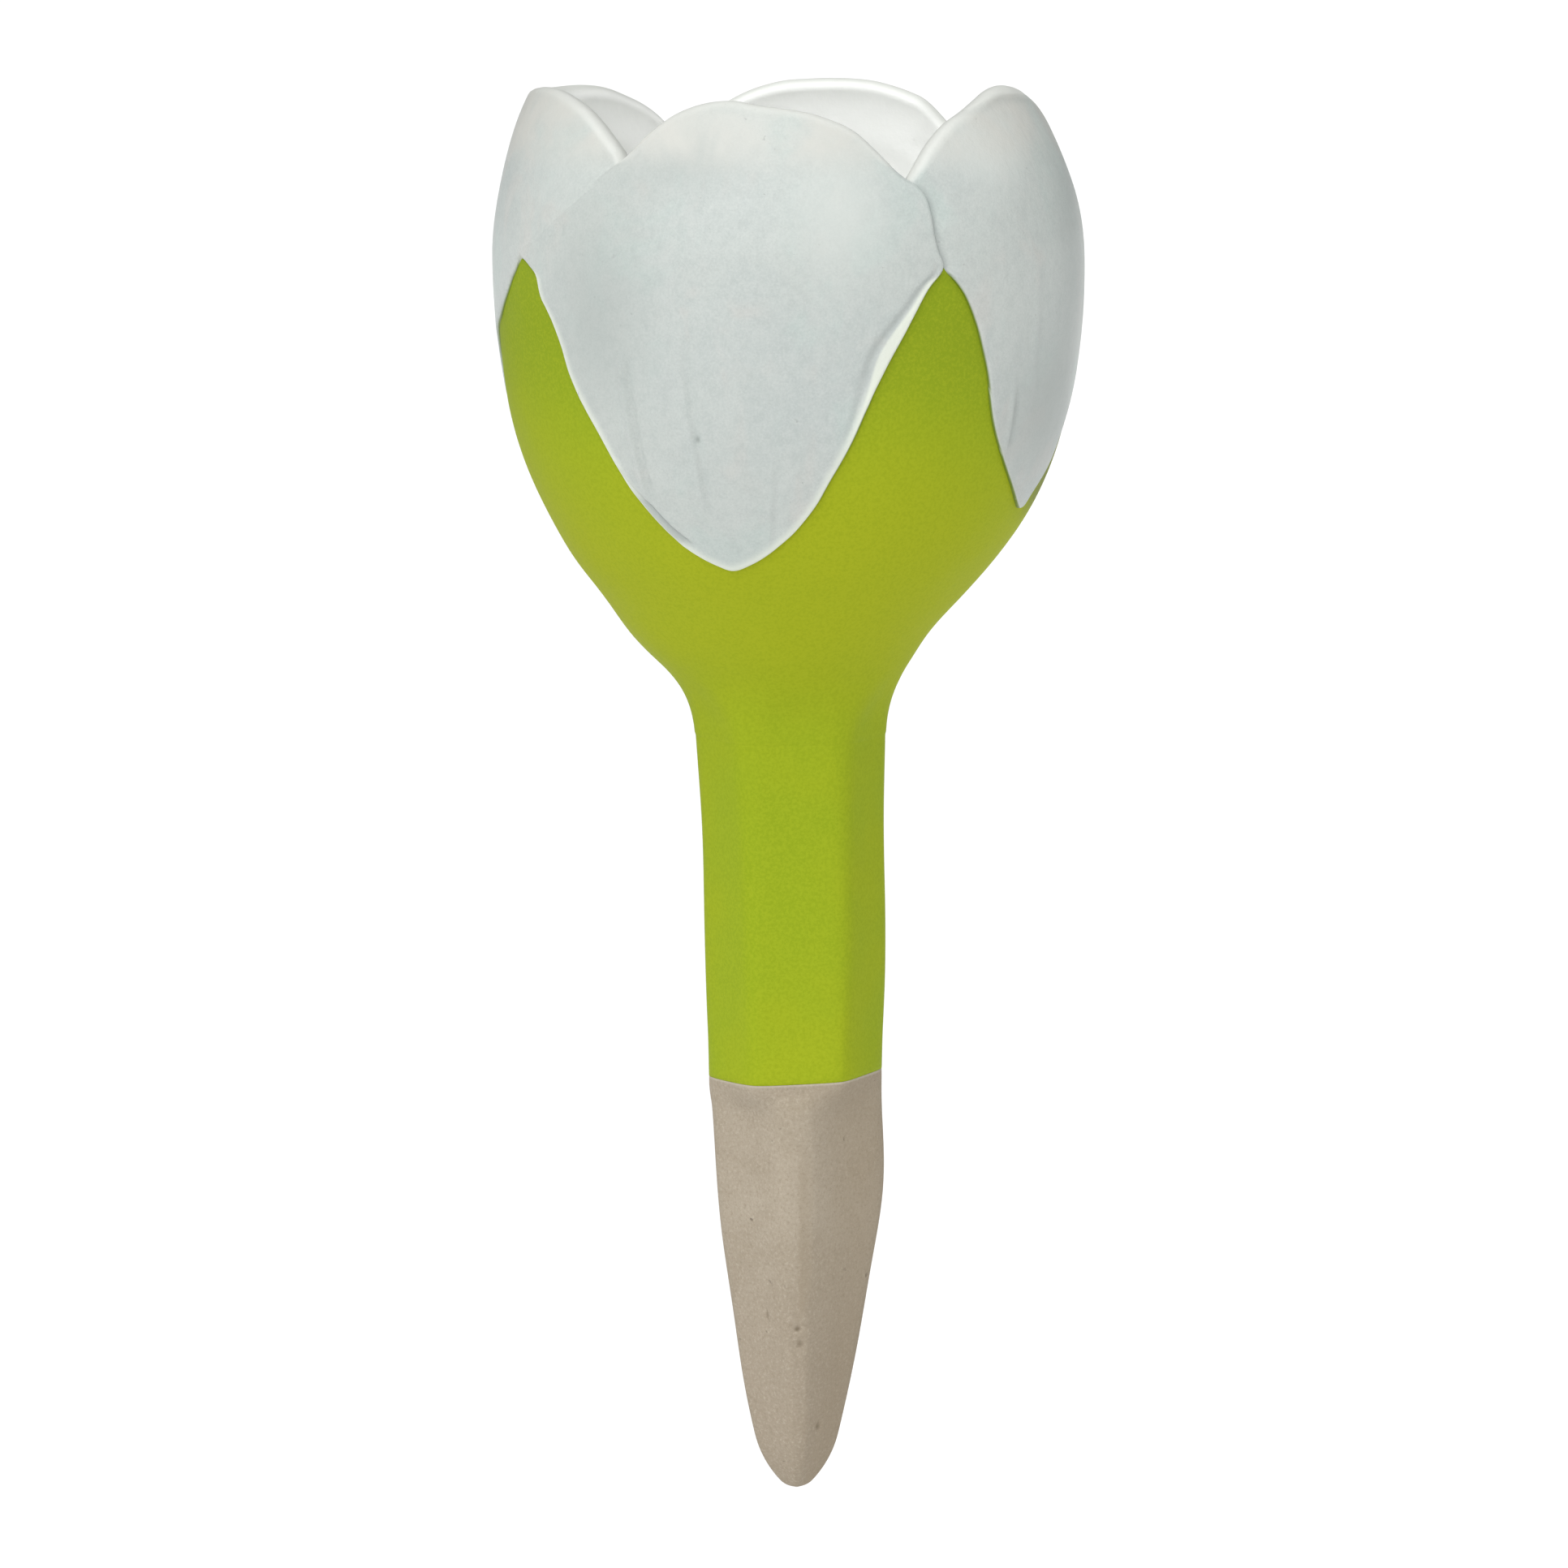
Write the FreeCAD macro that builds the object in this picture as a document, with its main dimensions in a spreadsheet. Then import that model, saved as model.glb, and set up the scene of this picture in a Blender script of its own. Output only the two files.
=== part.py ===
import FreeCAD, Part

import math
import os

import Sketcher

# A tulip-shaped watering spike. The row frame's origin is on the axis, at the joint between the
# green stem and the bare clay cone, which is where the soil's surface comes. +Z points up, the
# front petal faces -Y and the right petal faces +X. Azimuths are in degrees from -Y towards +X.

DIMENSIONS = [
    # alias, value in mm or degrees, what it is
    ("bloom_radius", 41.6, "outside radius of the sepals at the bloom's widest height"),
    ("equator_height", 118.0, "height of the bloom's widest circle"),
    ("crest_height", 142.0, "height of the petals' crests"),
    ("lip_arc", 42.5, "radius of the wall's arc above the equator"),
    ("belly_arc", 142.0, "radius of the wall's arc below the equator"),
    ("belly_angle", 7.3, "slope of the wall where the belly arc ends"),
    ("base_arc", 52.8, "radius of the wall's arc at the bottom of the bowl"),
    ("flare_angle", 39.8, "slope of the straight flare under the bowl"),
    ("flare_length", 17.0, "length of the straight flare"),
    ("neck_arc", 18.2, "radius of the hollow arc from the flare to the neck"),
    ("neck_angle", 3.0, "slope of the wall where the neck meets the stem"),
    ("petal_relief", 0.5, "how far the petals stand out from the sepals"),
    ("seat_depth", 1.4, "depth of the petals' seats below the sepals' faces"),
    ("wall", 3.4, "thickness of the bowl's wall"),
    ("skin_height", 102.0, "height of the rim of the calyx's inner skin"),
    ("ledge_height", 66.0, "height where the calyx's full wall begins"),
    ("seat_height", 74.2, "height that the petals' outer layers are cut from"),
    ("sepal_top", 119.0, "height that the sepals are cut from"),
    ("front_tip_height", 76.5, "height of the front and back petals' lower tips"),
    ("front_tip_arc", 12.0, "radius of those petals' lower tips in front view"),
    ("front_edge_angle", 28.0, "slope of those petals' lower edges in front view"),
    ("right_tip_height", 83.0, "height of the right petal's lower tip"),
    ("right_tip_arc", 20.5, "radius of the right petal's lower tip in side view"),
    ("right_edge_angle", 23.4, "slope of the right petal's lower edges in side view"),
    ("left_tip_height", 85.5, "height of the left petal's lower tip"),
    ("left_tip_arc", 9.0, "radius of the left petal's lower tip in side view"),
    ("left_edge_angle", 34.0, "slope of the left petal's lower edges in side view"),
    ("near_notch_azimuth", -22.7, "azimuth of the rim notch left of the front petal"),
    ("near_notch_height", 134.2, "height of that notch"),
    ("near_left_run", 20.0, "width of the arc that rises left of that notch"),
    ("near_right_run", 16.0, "width of the arc that rises right of that notch"),
    ("far_notch_azimuth", 39.5, "azimuth of the rim notch right of the front petal"),
    ("far_notch_height", 131.4, "height of that notch"),
    ("far_left_run", 22.0, "width of the arc that rises left of that notch"),
    ("far_right_run", 20.0, "width of the arc that rises right of that notch"),
    ("stem_radius_low", 12.55, "radius of the stem's corners at the cone"),
    ("stem_flat_low", 11.45, "distance of the stem's flats from its axis at the cone"),
    ("stem_flat_high", 12.9, "the same at the neck"),
    ("stem_turn", -14.0, "turn of the stem's six flats about the axis"),
    ("flat_top", 52.5, "height where the flats start to run out in the neck"),
    ("bore_radius", 7.0, "radius of the water channel in the stem"),
    ("tongue_radius", 10.4, "radius of the stem's tongue in the calyx's neck"),
    ("tongue_length", 7.2, "length of that tongue"),
    ("socket_radius", 8.8, "radius of the stem's socket for the cone"),
    ("socket_depth", 12.5, "depth of that socket"),
    ("cone_radius", 12.5, "radius of the cone's corners at its shoulder"),
    ("cone_length", 61.1, "length of the cone below its shoulder"),
    ("flank_arc", 230.0, "radius of the cone's flank"),
    ("flank_top_angle", 0.3, "slope of the flank at the shoulder"),
    ("flank_low_angle", 13.7, "slope of the flank where it turns in to the tip"),
    ("shoulder_arc", 15.9, "radius of the cone's turn to its tip"),
    ("ball_angle", 41.9, "slope of the cone where the tip's ball begins"),
    ("cone_flat_share", 0.83, "the flats' distance from the axis, as a share of the corners'"),
    ("cone_flat_arc", 277.0, "radius of the flats' long curve"),
    ("cone_turn_arc", 18.0, "radius of the flats' turn to the tip"),
    ("cone_turn", -26.2, "turn of the cone's four flats about the axis"),
    ("spigot_radius", 8.4, "radius of the cone's spigot"),
    ("spigot_length", 12.0, "length of the cone's spigot"),
    ("cavity_radius", 5.6, "radius of the cone's cavity"),
    ("cavity_straight", 24.0, "depth of the cavity's straight part below the shoulder"),
    ("cavity_end", 51.0, "depth of the cavity's round end below the shoulder"),
    ("cavity_ball", 1.6, "radius of the cavity's round end"),
]
CLEAR = 60.0  # how far the cutters reach past everything they cut, mm


class Size:
    """A number that remembers how the sheet gives it, so that a constraint can be bound to it."""

    def __init__(self, value, text=None):
        self.value = float(value)
        self.text = text or repr(float(value))

    def _with(self, other, sign, result):
        other = other if isinstance(other, Size) else Size(other)
        return Size(result(self.value, other.value), f"({self.text} {sign} {other.text})")

    def __add__(self, other):
        return self._with(other, "+", lambda a, b: a + b)

    def __sub__(self, other):
        return self._with(other, "-", lambda a, b: a - b)

    def __mul__(self, other):
        return self._with(other, "*", lambda a, b: a * b)

    def __truediv__(self, other):
        return self._with(other, "/", lambda a, b: a / b)

    def __neg__(self):
        return Size(-self.value, f"(0 - {self.text})")

    def cos(self):
        return Size(math.cos(math.radians(self.value)), f"cos({self.text} * 1 deg)")

    def sin(self):
        return Size(math.sin(math.radians(self.value)), f"sin({self.text} * 1 deg)")

    def root(self):
        return Size(math.sqrt(self.value), f"sqrt({self.text})")


class Arc:
    """An arc from one corner of an outline to the next, round a centre, clockwise or not."""

    def __init__(self, centre, radius, clockwise):
        self.centre, self.radius, self.clockwise = centre, radius, clockwise


doc = FreeCAD.newDocument("WateringSpike")
sheet = doc.addObject("Spreadsheet::Sheet", "Sizes")
size = {}
for row, (alias, value, words) in enumerate(DIMENSIONS, start=1):
    sheet.set(f"A{row}", words)
    sheet.set(f"B{row}", str(value))
    sheet.setAlias(f"B{row}", alias)
    size[alias] = Size(value, f"Sizes.{alias}")
doc.recompute()


# ---------------------------------------------------------------- sketches and features


def new_body(label):
    body = doc.addObject("PartDesign::Body", label)
    body.Label = label
    return body


def origin_feature(body, role):
    return next(f for f in body.Origin.OriginFeatures if f.Role == role)


def new_sketch(body, name, role="XZ_Plane", turn=None):
    """A sketch on one of the body's upright planes, turned about the Z axis if asked."""
    sketch = body.newObject("Sketcher::SketchObject", f"{body.Label}_{name}")
    sketch.AttachmentSupport = [(origin_feature(body, role), "")]
    sketch.MapMode = "FlatFace"
    if turn is not None:
        upright = FreeCAD.Rotation(FreeCAD.Vector(0, 1, 0), turn.value)
        sketch.AttachmentOffset = FreeCAD.Placement(FreeCAD.Vector(), upright)
        sketch.setExpression("AttachmentOffset.Rotation.Angle", f"{turn.text} * 1 deg")
    return sketch


def bind(sketch, constraint, amount):
    index = sketch.addConstraint(constraint)
    sketch.setExpression(f"Constraints[{index}]", amount.text)


def draw_outline(sketch, steps):
    """Draws a closed outline from (corner, link) pairs: a link is None for a straight edge to the
    next corner, or an Arc. Every corner and radius is bound to the sheet."""
    ends = []
    for number, (corner, link) in enumerate(steps):
        following = steps[(number + 1) % len(steps)][0]
        start = FreeCAD.Vector(corner[0].value, corner[1].value, 0)
        end = FreeCAD.Vector(following[0].value, following[1].value, 0)
        if link is None:
            index = sketch.addGeometry(Part.LineSegment(start, end))
            ends.append((index, 1, 2))
            continue
        centre = FreeCAD.Vector(link.centre[0].value, link.centre[1].value, 0)
        circle = Part.Circle(centre, FreeCAD.Vector(0, 0, 1), link.radius.value)
        first, last = (end, start) if link.clockwise else (start, end)
        turns = [math.atan2(p.y - centre.y, p.x - centre.x) for p in (first, last)]
        index = sketch.addGeometry(Part.ArcOfCircle(circle, *turns))
        ends.append((index, 2, 1) if link.clockwise else (index, 1, 2))
    for number, (corner, link) in enumerate(steps):
        index, first, last = ends[number]
        after = ends[(number + 1) % len(steps)]
        sketch.addConstraint(Sketcher.Constraint("Coincident", index, last, after[0], after[1]))
        for kind, amount in zip(("DistanceX", "DistanceY"), corner):
            bind(sketch, Sketcher.Constraint(kind, -1, 1, index, first, amount.value), amount)
        if link is not None:
            bind(sketch, Sketcher.Constraint("Radius", index, link.radius.value), link.radius)
    return sketch


def revolve(body, name, sketch, span=None):
    """Turns a sketch about the Z axis: a full turn, or a span of azimuth from the sketch's plane."""
    feature = body.newObject("PartDesign::Revolution", f"{body.Label}_{name}")
    feature.Profile = sketch
    feature.ReferenceAxis = (origin_feature(body, "Z_Axis"), [""])
    feature.Angle = 360.0 if span is None else span.value
    if span is not None:
        feature.setExpression("Angle", f"{span.text} * 1 deg")
    return feature


def pocket(body, name, sketch, side="front"):
    """Cuts a sketch right through: in front of its plane, behind it, or both."""
    feature = body.newObject("PartDesign::Pocket", f"{body.Label}_{name}")
    feature.Profile = sketch
    feature.Type = "ThroughAll"
    feature.Midplane = side == "both"
    feature.Reversed = side == "front"
    return feature


def repeat(body, name, feature, count):
    """Repeats a cut evenly round the Z axis."""
    pattern = body.newObject("PartDesign::PolarPattern", f"{body.Label}_{name}")
    pattern.Originals = [feature]
    pattern.Axis = (origin_feature(body, "Z_Axis"), [""])
    pattern.Angle = 360
    pattern.Occurrences = count
    body.Tip = pattern
    return pattern


def turn_body(body, turn):
    """Turns a finished body about the Z axis by a sheet angle."""
    body.Placement = FreeCAD.Placement(
        FreeCAD.Vector(), FreeCAD.Rotation(FreeCAD.Vector(0, 0, 1), turn.value)
    )
    body.setExpression("Placement.Rotation.Angle", f"{turn.text} * 1 deg")


# ---------------------------------------------------------------- the bloom's wall


def at_slope(centre, radius, slope, side=1):
    """The point of an arc where the wall slopes in by that angle below it."""
    return (
        centre[0] + slope.cos() * radius * side,
        centre[1] - slope.sin() * radius * side,
    )


def at_height(centre, radius, height):
    rise = height - centre[1]
    return (centre[0] + (radius * radius - rise * rise).root(), height)


equator = size["equator_height"]
lip_centre = (size["bloom_radius"] - size["lip_arc"], equator)
belly_centre = (size["bloom_radius"] - size["belly_arc"], equator)
base_centre = at_slope(belly_centre, size["belly_arc"] - size["base_arc"], size["belly_angle"])
base_end = at_slope(base_centre, size["base_arc"], size["flare_angle"])
flare_end = (
    base_end[0] - size["flare_angle"].sin() * size["flare_length"],
    base_end[1] - size["flare_angle"].cos() * size["flare_length"],
)
neck_centre = at_slope(flare_end, size["neck_arc"], size["flare_angle"])
neck_end = at_slope(neck_centre, size["neck_arc"], size["neck_angle"], side=-1)


def bulge(upper, lower, radius):
    """The clockwise arc of that radius between two points, one below the other."""
    across, down = upper[0] - lower[0], upper[1] - lower[1]
    chord = (across * across + down * down).root()
    reach = (radius * radius - chord * chord / 4).root() / chord
    centre = (
        (upper[0] + lower[0]) / 2 - down * reach,
        (upper[1] + lower[1]) / 2 + across * reach,
    )
    return Arc(centre, radius, clockwise=True)


class Wall:
    """The bloom's wall face at a depth below the sepals' outside."""

    def __init__(self, depth):
        self.lip = size["lip_arc"] - depth
        self.belly = size["belly_arc"] - depth
        self.base = size["base_arc"] - depth
        self.neck = size["neck_arc"] + depth
        self.equator = (size["bloom_radius"] - depth, equator)
        self.belly_end = at_slope(belly_centre, self.belly, size["belly_angle"])
        self.base_end = at_slope(base_centre, self.base, size["flare_angle"])
        self.flare_end = at_slope(neck_centre, self.neck, size["flare_angle"], side=-1)
        self.neck_end = at_slope(neck_centre, self.neck, size["neck_angle"], side=-1)

    def on_lip(self, height):
        return at_height(lip_centre, self.lip, height)

    def on_belly(self, height):
        return at_height(belly_centre, self.belly, height)

    def on_base(self, height):
        return at_height(base_centre, self.base, height)

    def on_flare(self, height):
        share = (self.base_end[1] - height) / size["flare_angle"].cos()
        return (self.base_end[0] - size["flare_angle"].sin() * share, height)

    def flare_to_radius(self, radius):
        share = (self.base_end[0] - radius) / size["flare_angle"].sin()
        return (radius, self.base_end[1] - size["flare_angle"].cos() * share)

    def lip_arc(self, clockwise):
        return Arc(lip_centre, self.lip, clockwise)

    def belly_arc(self, clockwise):
        return Arc(belly_centre, self.belly, clockwise)

    def base_arc(self, clockwise):
        return Arc(base_centre, self.base, clockwise)


sepal_face = Wall(Size(0))
petal_face = Wall(-size["petal_relief"])
seat_face = Wall(size["seat_depth"])
inside_face = Wall(size["wall"])


# ---------------------------------------------------------------- petal outlines


def petal_edge(kind):
    """The lower edge of a petal in its own view, from its left corner at the sepals' top, round
    its tip, to its right corner: corners and links for draw_outline, without the last corner."""
    slope = size[f"{kind}_edge_angle"]
    radius = size[f"{kind}_tip_arc"]
    centre = (Size(0), size[f"{kind}_tip_height"] + radius)
    right = at_slope(centre, radius, slope)
    left = (-right[0], right[1])
    corner = widening(kind, size["sepal_top"])
    return [
        ((-corner[0], corner[1]), None),
        (left, Arc(centre, radius, clockwise=False)),
        (right, None),
    ]


def widening(kind, height):
    """The right edge of a petal's lower part, carried on to any height."""
    slope = size[f"{kind}_edge_angle"]
    radius = size[f"{kind}_tip_arc"]
    rise = height - size[f"{kind}_tip_height"] - radius
    return ((radius + rise * slope.sin()) / slope.cos(), height)


def notch_corner(notch):
    """Where the front petal's side edge meets a rim notch, seen from the front."""
    height = size[f"{notch}_notch_height"]
    radius = petal_face.on_lip(height)[0]
    return (radius * size[f"{notch}_notch_azimuth"].sin(), height)


def seat_outline(kind):
    """A petal's seat in the calyx: the petal's lower part, open above the sepals."""
    top = size["equator_height"] + 8
    edge = petal_edge(kind)
    right = widening(kind, top)
    return [((-right[0], top), None)] + edge[1:] + [(right, None)]


def waste_outline(kind):
    """Everything round a petal, in its own view."""
    low, high, far = Size(CLEAR - 5), equator + CLEAR, Size(2 * CLEAR)
    corner = widening(kind, size["sepal_top"])
    steps = petal_edge(kind) + [(corner, None)]
    if kind == "front":
        right, left = notch_corner("far"), notch_corner("near")
        steps += [(right, None), ((right[0], high), None), ((far, high), None)]
        closing = [((-far, high), None), ((left[0], high), None), (left, None)]
    else:
        steps += [((far, corner[1]), None)]
        closing = [((-far, corner[1]), None)]
    return steps + [((far, low), None), ((-far, low), None)] + closing


def overlap_outline(mirrored):
    """What the front petal hides of its neighbours, seen from the front; mirrored for the back
    petal, which is the front one turned half round."""
    corner = widening("front", size["sepal_top"])
    low, high = equator - CLEAR / 2, equator + CLEAR
    right, left = notch_corner("far"), notch_corner("near")
    steps = [
        ((-corner[0], low), None),
        ((corner[0], low), None),
        (corner, None),
        (right, None),
        ((right[0], high), None),
        ((left[0], high), None),
        (left, None),
        ((-corner[0], corner[1]), None),
    ]
    if mirrored:
        steps = [((-point[0], point[1]), link) for point, link in reversed(steps)]
    return steps


def notch_outline(notch):
    """The dip in the rim between two petals, seen along the notch's azimuth."""
    crest, high = size["crest_height"], size["crest_height"] + CLEAR
    bottom = size[f"{notch}_notch_height"]
    drop = crest - bottom
    left, right = size[f"{notch}_left_run"], size[f"{notch}_right_run"]
    left_radius = (left * left + drop * drop) / (drop * 2)
    right_radius = (right * right + drop * drop) / (drop * 2)
    left_centre, right_centre = (-left, crest - left_radius), (right, crest - right_radius)
    return [
        ((-left, crest), Arc(left_centre, left_radius, clockwise=True)),
        ((Size(0), bottom), Arc(right_centre, right_radius, clockwise=True)),
        ((right, crest), None),
        ((right, high), None),
        ((-left, high), None),
    ]


# ---------------------------------------------------------------- the pieces


def make_calyx():
    """The green cup: a bowl with a rebate outside, and on it a skin that rises in four sepals."""
    body = new_body("calyx_cup")
    ledge, top = size["ledge_height"], size["sepal_top"]
    skin = [
        (seat_face.equator, seat_face.belly_arc(True)),
        (seat_face.belly_end, seat_face.base_arc(True)),
        (seat_face.base_end, None),
        (seat_face.on_flare(ledge), None),
        (sepal_face.on_flare(ledge), None),
        (sepal_face.base_end, sepal_face.base_arc(False)),
        (sepal_face.belly_end, sepal_face.belly_arc(False)),
        (sepal_face.equator, sepal_face.lip_arc(False)),
        (sepal_face.on_lip(top), None),
        (seat_face.on_lip(top), seat_face.lip_arc(True)),
    ]
    revolve(body, "skin", draw_outline(new_sketch(body, "skin_section"), skin))
    seats = (
        ("front", "XZ_Plane", "both"),
        ("right", "YZ_Plane", "front"),
        ("left", "YZ_Plane", "behind"),
    )
    for kind, role, side in seats:
        outline = draw_outline(new_sketch(body, f"{kind}_outline", role), seat_outline(kind))
        pocket(body, f"{kind}_seat", outline, side)
    socket_top = inside_face.flare_to_radius(size["tongue_radius"])
    bowl = [
        (seat_face.on_belly(size["skin_height"]), None),
        (inside_face.on_belly(size["skin_height"]), inside_face.belly_arc(True)),
        (inside_face.belly_end, inside_face.base_arc(True)),
        (inside_face.base_end, None),
        (socket_top, None),
        ((size["tongue_radius"], neck_end[1]), None),
        (neck_end, Arc(neck_centre, size["neck_arc"], clockwise=True)),
        (flare_end, None),
        (sepal_face.on_flare(ledge), None),
        (seat_face.on_flare(ledge), None),
        (seat_face.base_end, seat_face.base_arc(False)),
        (seat_face.belly_end, seat_face.belly_arc(False)),
    ]
    revolve(body, "bowl", draw_outline(new_sketch(body, "bowl_section"), bowl))
    cut_flats(body, size["stem_turn"])
    return body


def cut_flats(body, turn=None):
    """Six long flats on the stem, which run out in the calyx's neck."""
    far = size["bloom_radius"]
    top = size["flat_top"]
    grow = (size["stem_flat_high"] - size["stem_flat_low"]) / neck_end[1]
    run_out = size["tongue_length"]
    side = [
        ((size["stem_flat_low"] - grow * 2, Size(-2)), None),
        ((far, Size(-2)), None),
        ((far, top + run_out), None),
        ((size["stem_flat_low"] + grow * top + run_out, top + run_out), None),
        ((size["stem_flat_low"] + grow * top, top), None),
    ]
    sketch = draw_outline(new_sketch(body, "flat_side", turn=turn), side)
    repeat(body, "flats", pocket(body, "flat", sketch, "both"), 6)


def make_stem():
    """The hollow stem: a socket for the cone below, a tongue for the calyx's neck above."""
    body = new_body("stem_tube")
    tongue_top = neck_end[1] + size["tongue_length"]
    section = [
        ((size["socket_radius"], Size(0)), None),
        ((size["stem_radius_low"], Size(0)), None),
        (neck_end, None),
        ((size["tongue_radius"], neck_end[1]), None),
        ((size["tongue_radius"], tongue_top), None),
        ((size["bore_radius"], tongue_top), None),
        ((size["bore_radius"], size["socket_depth"]), None),
        ((size["socket_radius"], size["socket_depth"]), None),
    ]
    revolve(body, "turning", draw_outline(new_sketch(body, "section"), section))
    cut_flats(body)
    turn_body(body, size["stem_turn"])
    return body


def make_cone():
    """The bare clay cone: an ogive with four shaved flats, a spigot and a blind cavity."""
    body = new_body("clay_cone")
    radius, length = size["cone_radius"], size["cone_length"]
    top, low, ball = size["flank_top_angle"], size["flank_low_angle"], size["ball_angle"]
    flank, shoulder = size["flank_arc"], size["shoulder_arc"]
    flank_centre = (radius - top.cos() * flank, top.sin() * flank)
    flank_end = at_slope(flank_centre, flank, low)
    shoulder_centre = at_slope(flank_end, -shoulder, low)
    shoulder_end = at_slope(shoulder_centre, shoulder, ball)
    tip_radius = shoulder_end[0] / ball.cos()
    tip_centre = (Size(0), shoulder_end[1] + ball.sin() * tip_radius)
    tip = (Size(0), tip_centre[1] - tip_radius)
    end_centre = (Size(0), size["cavity_ball"] - size["cavity_end"])
    cavity_turn = (size["cavity_ball"], end_centre[1])
    section = [
        (tip, Arc(tip_centre, tip_radius, clockwise=False)),
        (shoulder_end, Arc(shoulder_centre, shoulder, clockwise=False)),
        (flank_end, Arc(flank_centre, flank, clockwise=False)),
        ((radius, Size(0)), None),
        ((size["spigot_radius"], Size(0)), None),
        ((size["spigot_radius"], size["spigot_length"]), None),
        ((size["cavity_radius"], size["spigot_length"]), None),
        ((size["cavity_radius"], -size["cavity_straight"]), None),
        (cavity_turn, Arc(end_centre, size["cavity_ball"], clockwise=True)),
        ((Size(0), -size["cavity_end"]), None),
    ]
    revolve(body, "turning", draw_outline(new_sketch(body, "section"), section))
    share = size["cone_flat_share"]
    flat_top = (radius * share, Size(0))
    flat_low = (flank_end[0] * share, flank_end[1])
    flat_end = (tip_radius * share, -length)
    flat = [
        (flat_top, bulge(flat_top, flat_low, size["cone_flat_arc"])),
        (flat_low, bulge(flat_low, flat_end, size["cone_turn_arc"])),
        (flat_end, None),
        ((radius * 2, -length), None),
        ((radius * 2, Size(0)), None),
    ]
    sketch = draw_outline(new_sketch(body, "flat_side"), flat)
    repeat(body, "flats", pocket(body, "flat", sketch, "both"), 4)
    turn_body(body, size["cone_turn"])
    return body


def make_cement():
    """The ring of waterproof cement that holds the cone's spigot in the stem's socket."""
    body = new_body("cone_cement")
    inner, outer, top = size["spigot_radius"], size["socket_radius"], size["spigot_length"]
    section = [
        ((inner, Size(0)), None),
        ((outer, Size(0)), None),
        ((outer, top), None),
        ((inner, top), None),
    ]
    revolve(body, "ring", draw_outline(new_sketch(body, "section"), section))
    return body


def face_section():
    """A petal's outer layer, which lies in the calyx's seat, in section."""
    low, crest = size["seat_height"], size["crest_height"]
    return [
        (seat_face.on_base(low), None),
        (petal_face.on_base(low), petal_face.base_arc(False)),
        (petal_face.belly_end, petal_face.belly_arc(False)),
        (petal_face.equator, petal_face.lip_arc(False)),
        (petal_face.on_lip(crest), None),
        (seat_face.on_lip(crest), seat_face.lip_arc(True)),
        (seat_face.equator, seat_face.belly_arc(True)),
        (seat_face.belly_end, seat_face.base_arc(True)),
    ]


def back_section():
    """A petal's inner layer, which stands on the calyx's inner skin, in section."""
    low, crest = size["skin_height"], size["crest_height"]
    return [
        (inside_face.on_belly(low), None),
        (seat_face.on_belly(low), seat_face.belly_arc(False)),
        (seat_face.equator, seat_face.lip_arc(False)),
        (seat_face.on_lip(crest), None),
        (inside_face.on_lip(crest), inside_face.lip_arc(True)),
        (inside_face.equator, inside_face.belly_arc(True)),
    ]


def sector(body, name, section, start, end):
    """Turns a section from one azimuth to another. A sketch turned to azimuth 0 faces -Y."""
    sketch = new_sketch(body, f"{name}_section", turn=start - 90)
    draw_outline(sketch, section)
    return revolve(body, name, sketch, span=end - start)


def make_petal(label, kind, turned):
    """One petal: an outer layer cut to the petal's outline, and an inner layer from notch to notch
    that passes under the neighbour's edge. The back petal is the front one turned half round; the
    left petal is drawn on the right and turned too."""
    body = new_body(label)
    near, far = size["near_notch_azimuth"], size["far_notch_azimuth"]
    if kind == "front":
        sector(body, "face", face_section(), Size(-56), Size(56))
        waste = draw_outline(new_sketch(body, "outline"), waste_outline(kind))
        pocket(body, "trim", waste)
        sector(body, "back", back_section(), near, far)
        notches = [("near", near), ("far", far)]
    else:
        sector(body, "face", face_section(), Size(24), Size(170))
        waste = draw_outline(new_sketch(body, "outline", "YZ_Plane"), waste_outline(kind))
        pocket(body, "trim", waste)
        for neighbour, mirrored in (("front", False), ("back", True)):
            hidden = new_sketch(body, f"under_{neighbour}")
            draw_outline(hidden, overlap_outline(mirrored))
            pocket(body, f"under_{neighbour}_cut", hidden, "behind" if mirrored else "front")
        sector(body, "back", back_section(), far, near + 180)
        notches = [("far", far), ("near", near + 180)]
    for notch, azimuth in notches:
        dip = new_sketch(body, f"{notch}_notch", turn=azimuth)
        pocket(body, f"{notch}_dip", draw_outline(dip, notch_outline(notch)))
    doc.recompute()
    if turned:
        turn_body(body, Size(180))
    return body


pieces = [
    make_cone(),
    make_cement(),
    make_stem(),
    make_calyx(),
    make_petal("petal_front", "front", turned=False),
    make_petal("petal_right", "right", turned=False),
    make_petal("petal_back", "front", turned=True),
    make_petal("petal_left", "left", turned=True),
]
doc.recompute()

# ---------------------------------------------------------------- check and write

for item in doc.Objects:
    if {"Invalid", "Error"} & set(item.State):
        raise SystemExit(f"{item.Label} failed: {item.State} {item.getStatusString()}")

os.makedirs("parts", exist_ok=True)
for piece in pieces:
    shape = piece.Shape
    if shape.isNull() or not shape.isValid() or not shape.Solids:
        raise SystemExit(f"{piece.Label} has no valid solid")
    shape.exportStep(f"parts/{piece.Label}.step")
    box = shape.BoundBox
    print(
        f"{piece.Label}: {len(shape.Solids)} solid(s), {shape.Volume / 1000:.2f} cm3, "
        f"x {box.XMin:.1f}..{box.XMax:.1f} y {box.YMin:.1f}..{box.YMax:.1f} z {box.ZMin:.1f}..{box.ZMax:.1f}"
    )
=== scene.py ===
import math

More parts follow.
